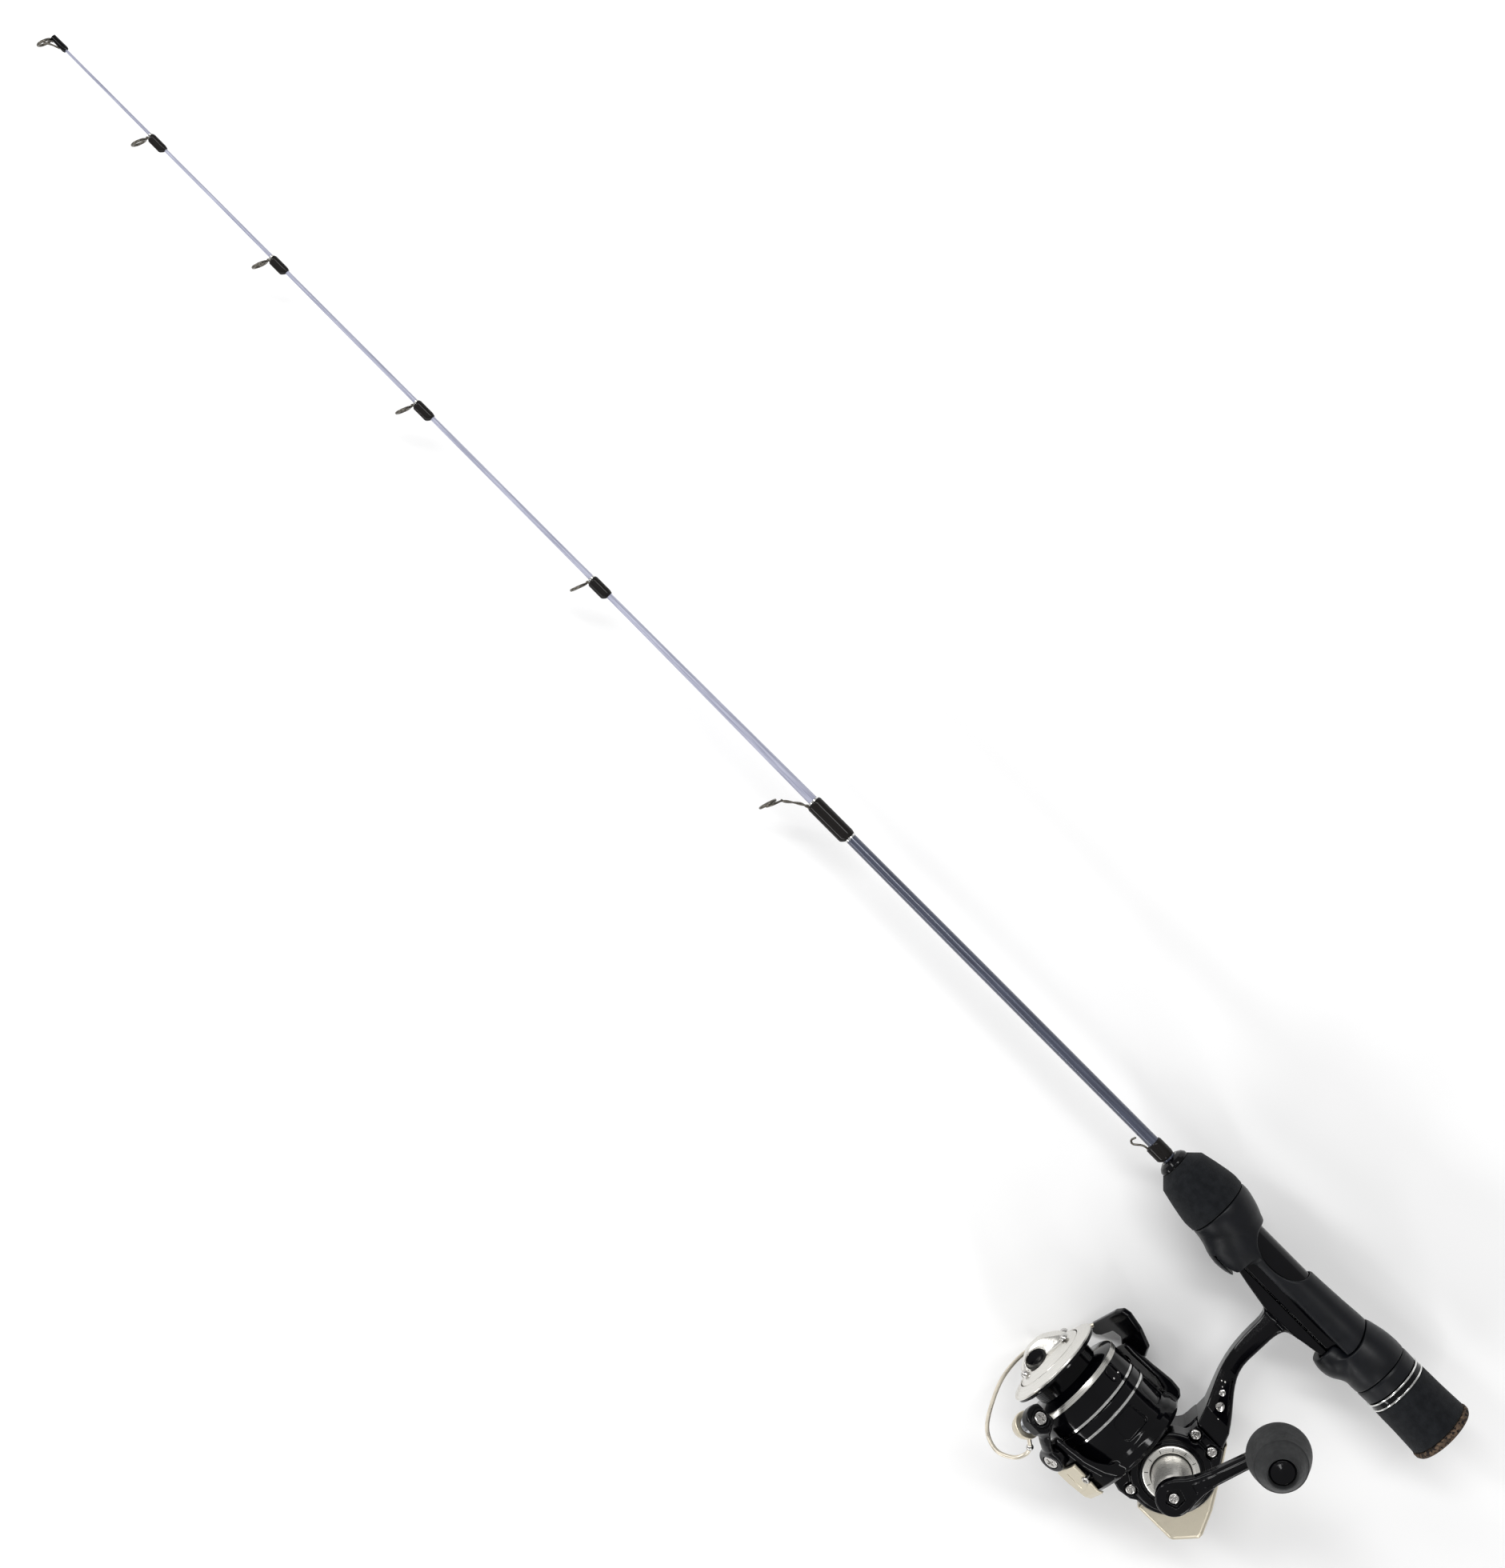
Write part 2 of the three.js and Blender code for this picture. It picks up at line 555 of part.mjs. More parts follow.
function crankArm() {
  const length = Math.hypot(CRANK_REACH.x, CRANK_REACH.y);
  const shape = new THREE.Shape();
  shape.absarc(0, 0, 6.6, 0.62, 2 * Math.PI - 0.62, false);
  shape.bezierCurveTo(9, -2.6, 14, -2.5, length, -2.4);
  shape.absarc(length, 0, 2.4, -Math.PI / 2, Math.PI / 2, false);
  shape.bezierCurveTo(14, 2.5, 9, 2.6, 6.6 * Math.cos(0.62), 6.6 * Math.sin(0.62));
  const lever = plate(shape, ARM_Z, ARM_Z + 5.2, 8);
  const recess = rod(ARM_Z + 3.6, ARM_Z + 9, 3.4, 'z', 5);
  const screwHole = rod(ARM_Z - 5, ARM_Z + 9, 1.5, 'z', 12);
  const knobHole = rod(ARM_Z - 5, ARM_Z + 9, 1.6, 'z', 12).translate(length, 0, 0);
  const solid = cut(lever, recess, screwHole, knobHole);
  return solid.rotateZ(Math.atan2(CRANK_REACH.y, CRANK_REACH.x));
}

function knobSpindle() {
  return join(rod(ARM_Z - 0.6, KNOB_BASE + 20, 1.25, 'z', SMALL), rod(ARM_Z - 1.4, ARM_Z - GAP, 2.2, 'z', SMALL));
}

function knob() {
  const z = KNOB_BASE;
  const outer = [[z, 0], [z, 5.4], [z + 1, 8.4], [z + 2.4, 10.3], [z + 4.6, 11.4], [z + 8, 11.3],
    [z + 14, 10.5], [z + 18.4, 9.2], [z + 23.4, 6.8], [z + 25.4, 5.4], [z + 25.4, 0]];
  const bore = rod(z - 1, z + 21, 1.6, 'z', SMALL);
  return cut(turned(outer, 'z'), bore, rod(z + 22.6, z + 30, 4.9, 'z', ROUND));
}

add('drive_gear', driveGear(), brass, crankSide);
add('crank_hub', crankHub(), brushed, crankSide);
add('crank_arm', crankArm(), pianoBlack, crankSide);
add('crank_arm_screw', screw(2, 1.1, 1.1, 7).translate(0, 0, ARM_Z + 4.9), chrome, crankSide);
const knobSide = groupAt(CRANK_X + CRANK_REACH.x, CRANK_Y + CRANK_REACH.y, 0);
add('knob_spindle', knobSpindle(), steel, knobSide);
add('knob', knob(), rubber, knobSide);
add('knob_cap', turned([[KNOB_BASE + 22.9, 0], [KNOB_BASE + 22.9, 4.6], [KNOB_BASE + 24, 4.4],
  [KNOB_BASE + 24.7, 3], [KNOB_BASE + 24.8, 0]], 'z', ROUND), rubber, knobSide);

// ---- main shaft, slider and cam gear ----

const SLIDER = { from: 659.2, to: 662.2 };

function oscillationSlider() {
  const y = SPOOL_Y;
  const carriage = block([SLIDER.from, y - 3.6, -2.8], [SLIDER.to, y + 2.6, 2.8]);
  return cut(carriage, rod(640, 680, SHAFT_RADIUS + 0.2, 'x', SMALL).translate(0, y, 0));
}

function camGear() {
  const turn = -Math.PI / 3;
  const spread = DRIVE_RADIUS + CAM_RADIUS + GAP;
  const wheel = plate(gearShape(CAM_TEETH, CAM_RADIUS, 0.8), -7.6, -4.6);
  const pin = rod(-5, -3.2, 0.6, 'z', 10).translate(1.3, 0, 0);
  return join(wheel, pin).translate(CRANK_X + spread * Math.cos(turn), CRANK_Y + spread * Math.sin(turn), 0);
}

add('main_shaft', rod(588.5, SLIDER.to, SHAFT_RADIUS, 'x', SMALL), steel, spoolSide);
add('oscillation_slider', oscillationSlider(), steel);
add('cam_gear', camGear(), brass);

// ---- spool and drag ----

function spool() {
  const bore = SHAFT_RADIUS + GAP;
  return sleeve([[600.5, bore], [600.5, 11.8], [594.8, 11.8], [594.8, 14.4], [596.2, 14.4], [596.4, 18.6],
    [597, 18.6], [597.6, 13.3], [603.2, 13.3], [604.6, 19.6], [605, 20.2], [615.7, 20.2], [615.7, 18.9],
    [606.4, 18.9], [605.6, 12.6], [606.2, 5.5], [614, 5.5], [614, bore]]);
}

function dragKnob() {
  const disc = turned([[598.4, 0], [598.4, 11.2], [594.4, 11.2], [594.4, 13.7], [593.4, 13.9],
    [592.8, 13.2], [591.4, 10], [590, 7], [588, 6], [587, 0]]);
  const wing = ball(590, 0, 0, [5.8, 9.4, 3.6]);
  const forward = block([570, -20, -20], [592, 20, 20]);
  const bore = rod(588.2, 600, SHAFT_RADIUS + GAP, 'x', SMALL);
  return cut(join(disc, common(wing, forward)).rotateX(ROTOR_TURN), bore);
}

add('spool', spool(), pianoBlack, spoolSide);
add('spool_lip', sleeve([[593.4, 14.3], [594.8, 18.6], [595.2, 19.1], [595.7, 19.1], [595.9, 18.4],
  [595.9, 14.8], [594.4, 14.8], [594.4, 14.3]]), brushed, spoolSide);
add('drag_washer', tube(598.8, 600.1, 2.5, 11.2, 'x'), felt, spoolSide);
add('drag_knob', dragKnob(), brushed, spoolSide);

// ---- rotor ----

function rotorArm(side) {
  const outline = [[637.8, 20.6], [636.8, 25.2], [632, 26.6], [612.4, 26.6], [611.4, 25.4], [611.6, 24],
    [616, 23.4], [628, 23.2], [631.4, 22], [633, 20]];
  const points = outline.map(([x, r]) => [x, side * r]);
  const [low, high] = side < 0 ? [-8, 6] : [-6, 6];
  return plate(polygon(points), low, high);
}

function rotor() {
  const drum = sleeve([[616.1, 18.6], [631, 18.6], [631, 5.5], [622, 5.5], [622, 3.45], [633.6, 3.45],
    [633.6, 18.8], [638.2, 19.8], [638.2, 21.2], [636.8, 22], [634, 21.4], [632.4, 20.4], [621, 19.9],
    [620.9, 20.3], [620, 20.3], [619.9, 20.1], [616.1, 20.1]]);
  const pivots = rod(-40, 40, 1.7, 'z', 12).rotateX(Math.PI / 2).translate(BAIL_X, 0, 0);
  const arms = cut(join(rotorArm(-1), rotorArm(1)), pivots);
  return cut(join(drum, arms), rod(600, 630, 18.6));
}

// The rotor's inner bore is cut clear, so its back wall and hub are joined on afterwards.
function rotorWithHub() {
  const hub = sleeve([[622, 3.45], [622, 5.5], [631, 5.5], [631, 19], [633.6, 19], [633.6, 3.45]]);
  return join(rotor(), hub);
}

function pinionGear() {
  const teeth = plate(gearShape(PINION_TEETH, 3.3, 0.7), 643.3, 648.2).rotateY(Math.PI / 2);
  const barrel = rod(619.2, 644, 3.1, 'x', SMALL);
  return cut(join(barrel, teeth), rod(610, 660, SHAFT_RADIUS + GAP, 'x', SMALL));
}

function rotorArmCover() {
  const outline = new THREE.Shape();
  outline.moveTo(622.4, 26.9);
  outline.lineTo(635.4, 26.9);
  outline.lineTo(637.4, 25.6);
  outline.quadraticCurveTo(637.6, 27.4, 635, 28.1);
  outline.lineTo(622.4, 28.5);
  const shell = plate(outline, -5.9, 5.9).scale(1, -1, 1);
  return cut(closed(shell), rod(20, 40, 1, 'z', 12).rotateX(Math.PI / 2).translate(629.5, 0, 5.5));
}

add('rotor', rotorWithHub(), pianoBlack, spoolSide);
add('pinion_gear', pinionGear(), brass, spoolSide);
add('rotor_nut', cut(rod(619.4, 621.7, 5.2, 'x', 6), rod(610, 630, 3.4, 'x', SMALL)), steel, spoolSide);
add('rotor_arm_cover', rotorArmCover(), champagne, spoolSide);

// ---- bail: two arms on one pivot line, a wire round the front of the spool, a line roller ----

const ROLLER = { x: 600.6, y: -29, low: 5.4, high: 9.4, radius: 3.4 };

function bossOn(side, radius, thick) {
  const middle = side * BAIL_RADIUS;
  const disc = rod(-thick / 2, thick / 2, radius, 'z', 20).rotateX(Math.PI / 2);
  return disc.translate(BAIL_X, middle, 0);
}

const pivotHole = rod(-40, 40, 1.5, 'z', 12).rotateX(Math.PI / 2).translate(BAIL_X, 0, 0);

function bailArmRoller() {
  const lever = bar([[BAIL_X, -BAIL_RADIUS, 0], [614, -29.4, 2], [610, -30.7, 6.2], [605.5, -30.5, 10.6],
    [601.5, -29.2, 12.4]], 1.2, 2.7, 12, 8);
  const screwSeat = rod(BAIL_RADIUS + 1.3, 40, 3, 'z', 16).rotateX(Math.PI / 2).translate(BAIL_X, 0, 0);
  const end = rod(9.8, 14.2, 5.5, 'z', 16).translate(ROLLER.x, ROLLER.y, 0);
  const rollerRoom = rod(0, ROLLER.high + GAP, ROLLER.radius + GAP, 'z', 16).translate(ROLLER.x, ROLLER.y, 0);
  const pinHole = rod(9, 12.6, 1.6, 'z', 12).translate(ROLLER.x, ROLLER.y, 0);
  return cut(join(bossOn(-1, 4.8, 2.6), lever, end), pivotHole, screwSeat, rollerRoom, pinHole);
}

// A flat angled plate that runs forward from the pivot, then across the front of the spool's skirt.
function bailArmFar() {
  const outline = polygon([[616.6, -5], [620.6, -3.4], [621.4, 2], [618.6, 8.2], [611, 12.8], [603.8, 15],
    [601, 14], [600, 10], [600.2, -7.4], [602, -9.8], [604.6, -9.6], [605.8, -7], [606.4, 0.6], [609.6, 1.4],
    [613, -3]]);
  const lever = plate(outline, -1.4, 1.4).rotateX(Math.PI / 2).translate(0, BAIL_RADIUS + 0.4, 0);
  const wireEnd = bar([[598.6, 25, -14.4], [600.5, 27.4, -7.4], [600.8, 27.9, -6.4]], 1.15, 1.15, 6, 8);
  return cut(lever, pivotHole, wireEnd);
}

function bailWire() {
  const { x, y, low, high } = ROLLER;
  const cap = turned([[-1.2, 0], [-1.2, 2], [0.6, 4.2], [3.6, 5.2], [low - GAP, 5.2], [low - GAP, 0]],
    'z', 20).translate(x, y, 0);
  const pin = rod(2, high + 2.4, 1.2, 'z', 12).translate(x, y, 0);
  const loop = [[603.6, -29.4, 1], [607.8, -30, -3], [609.3, -31.5, -6.4], [607.3, -34, -10.4]];
  loop.push([601.4, -34.6, -14.4], [595, -28, -18.6], [591.4, -12, -24.6], [590.4, 0, -27]);
  loop.push([591.4, 11, -25.6], [594.8, 19.6, -20.6], [598.6, 25, -14.4], [600.5, 27.4, -7.4]);
  return join(cap, pin, bar(loop, 0.8, 0.8, 36, 6));
}

add('bail_arm_roller', bailArmRoller(), pianoBlack, spoolSide);
add('bail_arm_far', bailArmFar(), pianoBlack, spoolSide);
add('bail_wire', bailWire(), champagne, spoolSide);
const pivotScrew = screw(2.7, 1.1, 1.2, 6).rotateX(Math.PI / 2).translate(BAIL_X, -BAIL_RADIUS - 2.6, 0);
add('bail_pivot_screw', pivotScrew, chrome, spoolSide);
const lineRoller = sleeve([[ROLLER.low, 1.5], [ROLLER.low, ROLLER.radius], [7.4, ROLLER.radius - 1],
  [ROLLER.high, ROLLER.radius], [ROLLER.high, 1.5]], 'z', 20);
add('line_roller', lineRoller.translate(ROLLER.x, ROLLER.y, 0), steel, spoolSide);

// ---- stand the object on its base, with the origin under the middle of its box ----

const box = new THREE.Box3().setFromObject(whole, true);
const centre = box.getCenter(new THREE.Vector3());
whole.position.set(-centre.x, -centre.y, -box.min.z);

export default whole;
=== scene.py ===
"""Looks of an ice fishing rod with a small spinning reel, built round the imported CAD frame.

Shapes are made in millimetres. X runs along the rod as stations measured from its tip, -Y points
to the reel and +Z to the crank. Each piece is placed by one of a few frames that start from the
CAD model's own boxes: the rod, the spool and rotor, the crank and the knob.
"""

import json
import math

import bpy
import numpy as np
from mathutils import Matrix, Vector


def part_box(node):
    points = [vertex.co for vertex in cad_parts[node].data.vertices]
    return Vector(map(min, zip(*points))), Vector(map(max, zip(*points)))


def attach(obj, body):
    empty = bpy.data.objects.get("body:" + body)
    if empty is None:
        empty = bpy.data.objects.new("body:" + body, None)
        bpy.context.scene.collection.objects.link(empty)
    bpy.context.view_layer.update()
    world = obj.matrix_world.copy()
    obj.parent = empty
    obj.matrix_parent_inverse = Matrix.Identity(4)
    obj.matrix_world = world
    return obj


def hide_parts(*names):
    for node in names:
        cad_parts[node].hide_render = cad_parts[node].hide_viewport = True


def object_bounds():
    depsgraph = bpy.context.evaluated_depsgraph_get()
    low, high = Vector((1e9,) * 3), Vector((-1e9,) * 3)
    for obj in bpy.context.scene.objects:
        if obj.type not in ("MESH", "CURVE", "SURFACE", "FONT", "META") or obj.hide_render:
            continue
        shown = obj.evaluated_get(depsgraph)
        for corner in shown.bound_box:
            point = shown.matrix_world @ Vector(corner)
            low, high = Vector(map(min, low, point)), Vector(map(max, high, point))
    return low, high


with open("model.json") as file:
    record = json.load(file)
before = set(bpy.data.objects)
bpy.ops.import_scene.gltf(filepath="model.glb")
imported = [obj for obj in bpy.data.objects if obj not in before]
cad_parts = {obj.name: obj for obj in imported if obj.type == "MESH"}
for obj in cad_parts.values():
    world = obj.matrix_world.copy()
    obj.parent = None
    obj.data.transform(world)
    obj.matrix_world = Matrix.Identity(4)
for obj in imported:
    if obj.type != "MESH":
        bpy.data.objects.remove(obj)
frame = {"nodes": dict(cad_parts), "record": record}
cad_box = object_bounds()

# ---- driving dimensions, in mm ----

MM = 0.001
FINE = 1.0  # a coarser skin while trying things

ROD_LENGTH = 711
FERRULE = 396
SPOOL_Y = -83.2
CRANK_AT = (650.5, -78)
KNOB_AT = (661.9, -39.2)
ROTOR_DEGREES = 44
BAIL_X = 616.6
BAIL_RADIUS = 28.3
CASE_BACK = -13
CASE_FRONT = 639.2
COVER_LOW = 4.3
COVER_TOP = 12.5
BOSS_TOP = 15
BOSS_RADIUS = 14.8
COVER_LINE = -59
ARM_Z = 37.5
KNOB_BASE = 43.3
TUBE_RADIUS = 6.5
HOOD_START = 661.8
GAP = 0.3
AXIS = (SPOOL_Y, 0)  # the spool's axis, in Y and Z
PIVOT = (BAIL_X, 0)  # the bail's axis, in X and Z
TUBE_BORE = 2.7  # the room for the butt section
SHELF = 6.8  # the inner radius of the pieces round the seat's tube
SEAT_BORE = TUBE_RADIUS + GAP
GEAR_ROOM = 15.3
BACK_WALL = 2
CASE_WALL = 1.6
LID_ROOM = 11.5
BEARING_BORE = 2.7
SHAFT_BORE = 1.5
SPOOL_RADIUS = 20.1
ROTOR_WINDOWS = (-19, 34, 161, 214)  # degrees round the rotor
ROLLER_AT = (600.6, -29)
ROLLER_LOW = 5.4
ROLLER_HIGH = 9.4
ROLLER_RADIUS = 3.4
FINGER_X = 589.2
FINGER_Y = -2.9
FINGER_Z = 5.4
ALWAYS = 99  # a distance beyond any grid

TIP_TAPER = [(1.2, 0.5), (130, 0.78), (268, 1.05), (325, 1.38), (371, 1.75), (395.7, 1.93)]
BUTT_TAPER = [(FERRULE, 2.05), (475, 2.3), (570, 2.35), (688, 2.4)]
GUIDES = [
    {"station": 54, "wrap": 7.5, "ring": 3.1, "drop": 4.9, "lean": 21},
    {"station": 116, "wrap": 7.5, "ring": 3.2, "drop": 5.1, "lean": 21},
    {"station": 190, "wrap": 8, "ring": 3.25, "drop": 5.4, "lean": 21},
    {"station": 280, "wrap": 8.5, "ring": 3.3, "drop": 5.8, "lean": 21},
    {"station": 398, "wrap": 18, "ring": 3.6, "drop": 12.6, "lean": 17},
]
KEEPER = {"station": 566, "wrap": 7.5}
WIRE = 0.45
TWIST_RADIUS = 0.32
TWIST_ANGLE = 16  # radians
SCREW_SPOTS = [(646.9, -62.3), (655.4, -62.6), (645.5, -93.2)]

# ---- frames ----

cap_low, cap_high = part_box("butt_cap")
TIP = Vector((cap_high.x - ROD_LENGTH * MM, (cap_low.y + cap_high.y) / 2, (cap_low.z + cap_high.z) / 2))


def place(x=0.0, y=0.0, z=0.0, turn=0.0):
    """The frame at a point measured from the rod's tip, turned about X."""
    return Matrix.Translation(TIP + Vector((x, y, z)) * MM) @ Matrix.Rotation(turn, 4, "X")


ROD = place()
SPOOL = place(0, SPOOL_Y, 0, -math.radians(ROTOR_DEGREES))
CRANK = place(*CRANK_AT)
KNOB = place(*KNOB_AT)
BODY = {node: body for body, nodes in frame["record"]["behaviour"]["bodies"].items() for node in nodes}

# ---- shapes: a shape is (vertices in mm, faces) ----


def rounded(points, radius, closed=False, steps=4):
    """An outline with its corners rounded."""
    points = [np.array(p, float) for p in points]
    result = []
    for i, corner in enumerate(points):
        if not closed and i in (0, len(points) - 1):
            result.append(corner)
            continue
        back = points[i - 1] - corner
        ahead = points[(i + 1) % len(points)] - corner
        size_back, size_ahead = np.linalg.norm(back), np.linalg.norm(ahead)
        half = math.acos(float(np.clip(back @ ahead / (size_back * size_ahead), -1, 1))) / 2
        if half > 1.5:
            result.append(corner)
            continue
        trim = min(radius / math.tan(half), 0.45 * size_back, 0.45 * size_ahead)
        start, end = corner + back / size_back * trim, corner + ahead / size_ahead * trim
        for t in np.linspace(0, 1, steps + 1):
            result.append((1 - t) ** 2 * start + 2 * t * (1 - t) * corner + t * t * end)
    return [tuple(p) for p in result]


def smooth_line(points, steps=8):
    """A smooth curve through points of two or three numbers."""
    p = np.array([points[0], *points, points[-1]], float)
    p[0], p[-1] = 2 * p[1] - p[2], 2 * p[-2] - p[-3]
    result = []
    for a, b, c, d in zip(p, p[1:], p[2:], p[3:]):
        for t in np.arange(steps) / steps:
            result.append(0.5 * (2 * b + (c - a) * t + (2 * a - 5 * b + 4 * c - d) * t**2
                                 + (3 * b - a - 3 * c + d) * t**3))
    return [tuple(q) for q in result] + [tuple(points[-1])]


def bezier(start, first, second, end, steps=10):
    a, b, c, d = (np.array(q, float) for q in (start, first, second, end))
    return [tuple((1 - t) ** 3 * a + 3 * t * (1 - t) ** 2 * b + 3 * t * t * (1 - t) * c + t**3 * d)
            for t in np.linspace(0, 1, steps + 1)]


def arc(x, y, radius, start, end, steps=24):
    angles = np.linspace(start, end, steps + 1)
    return [(x + radius * math.cos(a), y + radius * math.sin(a)) for a in angles]


def outward(vertices, faces):
    """The shape with its faces turned to point out."""
    v = np.array(vertices, float)
    total = 0.0
    for face in faces:
        for i in range(1, len(face) - 1):
            total += v[face[0]] @ np.cross(v[face[i]], v[face[i + 1]])
    return (v, [f[::-1] for f in faces] if total < 0 else faces)


def spin(profile, axis="x", sides=72, closed=False, swell=None):
    """A shape turned from (along, radius) points. swell(along, angle) adds to the radius."""
    vertices, faces, rings = [], [], []
    for along, radius in profile:
        count = 1 if radius < 1e-6 else sides
        rings.append([len(vertices) + k % count for k in range(sides)])
        for k in range(count):
            angle = 2 * math.pi * k / sides
            r = radius + (swell(along, angle) if swell else 0)
            u, v = r * math.cos(angle), r * math.sin(angle)
            vertices.append((along, u, v) if axis == "x" else (u, v, along))
    for a, b in zip(rings, rings[1:] + rings[:closed]):
        for k in range(sides):
            n = (k + 1) % sides
            face = list(dict.fromkeys([a[k], a[n], b[n], b[k]]))
            if len(face) > 2:
                faces.append(face)
    return outward(vertices, faces)


def sleeve(profile, axis="x", sides=72, edge=0.0, swell=None):
    """A ring or tube turned from an outline that closes on itself."""
    return spin(rounded(profile, edge, closed=True) if edge else profile, axis, sides, True, swell)


def tube(start, end, inner, outer, axis="x", sides=72, edge=0.15):
    return sleeve([(start, inner), (start, outer), (end, outer), (end, inner)], axis, sides, edge)


def slab(outline, low, high):
    """A plate with an outline in XY."""
    count = len(outline)
    vertices = [(x, y, z) for z in (low, high) for x, y in outline]
    faces = [list(range(count))[::-1], list(range(count, 2 * count))]
    faces += [[i, (i + 1) % count, (i + 1) % count + count, i + count] for i in range(count)]
    return outward(vertices, faces)


def wire(points, radius, steps=8, sides=12, twist=None):
    """A round wire with rounded ends along a smooth curve, wound round it from the angle twist if given."""
    path = np.array(smooth_line(points, steps), float)
    if twist is not None:
        angle = twist + np.linspace(0, TWIST_ANGLE, len(path))
        path[:, 1:] += TWIST_RADIUS * np.stack([np.cos(angle), np.sin(angle)], 1)
    ahead = np.gradient(path, axis=0)
    ahead /= np.linalg.norm(ahead, axis=1)[:, None]
    side = np.cross(ahead[0], (0, 0, 1) if abs(ahead[0][2]) < 0.8 else (0, 1, 0))
    vertices, rings = [], []
    ends = [(path[0] - ahead[0] * radius * 0.6, 0.45), *[(p, 1.0) for p in path],
            (path[-1] + ahead[-1] * radius * 0.6, 0.45)]
    directions = [ahead[0], *ahead, ahead[-1]]
    for (centre, share), forward in zip(ends, directions):
        side = side - forward * (side @ forward)
        side /= np.linalg.norm(side)
        up = np.cross(forward, side)
        rings.append(len(vertices))
        for k in range(sides):
            a = 2 * math.pi * k / sides
            vertices.append(centre + (side * math.cos(a) + up * math.sin(a)) * radius * share)
    faces = [[rings[0] + k for k in range(sides)], [rings[-1] + k for k in range(sides)][::-1]]
    for a, b in zip(rings, rings[1:]):
        faces += [[a + k, b + k, b + (k + 1) % sides, a + (k + 1) % sides] for k in range(sides)]
    return outward(vertices, faces)


def moved(shape, x=0.0, y=0.0, z=0.0):
    return (np.array(shape[0], float) + (x, y, z), shape[1])


def turned(shape, axis, degrees):
    spun = np.array(Matrix.Rotation(math.radians(degrees), 3, axis))
    return (np.array(shape[0], float) @ spun.T, shape[1])


def together(*shapes):
    vertices, faces, start = [], [], 0
    for v, f in shapes:
        vertices.append(np.array(v, float))
        faces += [[i + start for i in face] for face in f]
        start += len(v)
    return (np.concatenate(vertices), faces)


# ---- sculpted shapes: signed distances, sampled on a grid and skinned ----


class Grid:
    """Sample points that fill a box. Distances made from them are negative inside a solid."""

    def __init__(self, low, high, step):
        self.step = step * FINE
        self.low = np.array(low, float) - 3 * self.step
        counts = np.ceil((np.array(high) - self.low) / self.step).astype(int) + 4
        axes = [start + self.step * np.arange(n, dtype=np.float32) for start, n in zip(self.low, counts)]
        self.x, self.y, self.z = np.meshgrid(*axes, indexing="ij", sparse=True)
        self.shape = tuple(counts)


def both(a, b, edge=0.0):
    """The common part of two solids, with the edge between them rounded."""
    if not edge:
        return np.maximum(a, b)
    corner = np.hypot(np.maximum(a + edge, 0), np.maximum(b + edge, 0))
    return np.minimum(-edge, np.maximum(a, b)) + corner


def merged(a, b, fillet=0.0):
    """Two solids as one, with a fillet where they meet."""
    return -both(-a, -b, fillet)


def carved(a, tool, edge=0.0):
    return both(a, -tool, edge)


def between(value, low, high):
    return np.maximum(low - value, value - high)


def ball(g, centre, radii):
    x, y, z = g.x - centre[0], g.y - centre[1], g.z - centre[2]
    near = np.sqrt((x / radii[0]) ** 2 + (y / radii[1]) ** 2 + (z / radii[2]) ** 2)
    slope = np.sqrt((x / radii[0] ** 2) ** 2 + (y / radii[1] ** 2) ** 2 + (z / radii[2] ** 2) ** 2)
    return near * (near - 1) / np.maximum(slope, 1e-6)


def shaft(a, b, radius, centre=(0, 0)):
    """A round bar of endless length; a and b are the coordinates across it."""
    return np.hypot(a - centre[0], b - centre[1]) - radius


def brick(g, low, high, edge=0.0):
    sides = [between(v, a, b) for v, a, b in zip((g.x, g.y, g.z), low, high)]
    return both(both(sides[0], sides[1], edge), sides[2], edge)


def outline_distance(px, py, outline):
    """Distance to a closed outline, negative inside."""
    shape = np.broadcast(px, py).shape
    nearest = np.full(shape, 1e9, np.float32)
    inside = np.zeros(shape, bool)
    for (ax, ay), (bx, by) in zip(outline, [*outline[1:], outline[0]]):
        ex, ey = bx - ax, by - ay
        if abs(ex) + abs(ey) < 1e-6:
            continue
        wx, wy = px - ax, py - ay
        t = np.clip((wx * ex + wy * ey) / (ex * ex + ey * ey), 0, 1)
        nearest = np.minimum(nearest, (wx - ex * t) ** 2 + (wy - ey * t) ** 2)
        if ay != by:
            inside ^= ((ay > py) != (by > py)) & (px < ex * (py - ay) / ey + ax)
    return np.where(inside, -1, 1) * np.sqrt(nearest)


def prism(g, outline, low, high, edge=0.0):
    """An outline in XY between two heights."""
    return both(outline_distance(g.x, g.y, outline), between(g.z, low, high), edge)


def column(g, profile, edge=0.0):
    """A turned solid about X whose (along, radius) profile never folds back."""
    line = np.array(smooth_line(profile))
    radius = np.interp(g.x, line[:, 0], line[:, 1])
    slope = np.gradient(radius, axis=0) / g.step
    side = (np.hypot(g.y, g.z) - radius) / np.sqrt(1 + slope**2)
    return both(side, between(g.x, profile[0][0], profile[-1][0]), edge)


def turning(g, outline):
    """A solid turned about X from a closed (along, radius) outline, read from a table."""
    radius = np.hypot(g.y, g.z)
    fine = g.step / 2
    reach = np.arange(0, radius.max() + 3 * fine, fine, dtype=np.float32)
    table = outline_distance(g.x[:, :, 0], reach[None, :], outline)
    at = radius[0] / fine
    low = np.floor(at).astype(int)
    share = (at - low)[None]
    return table[:, low] * (1 - share) + table[:, low + 1] * share


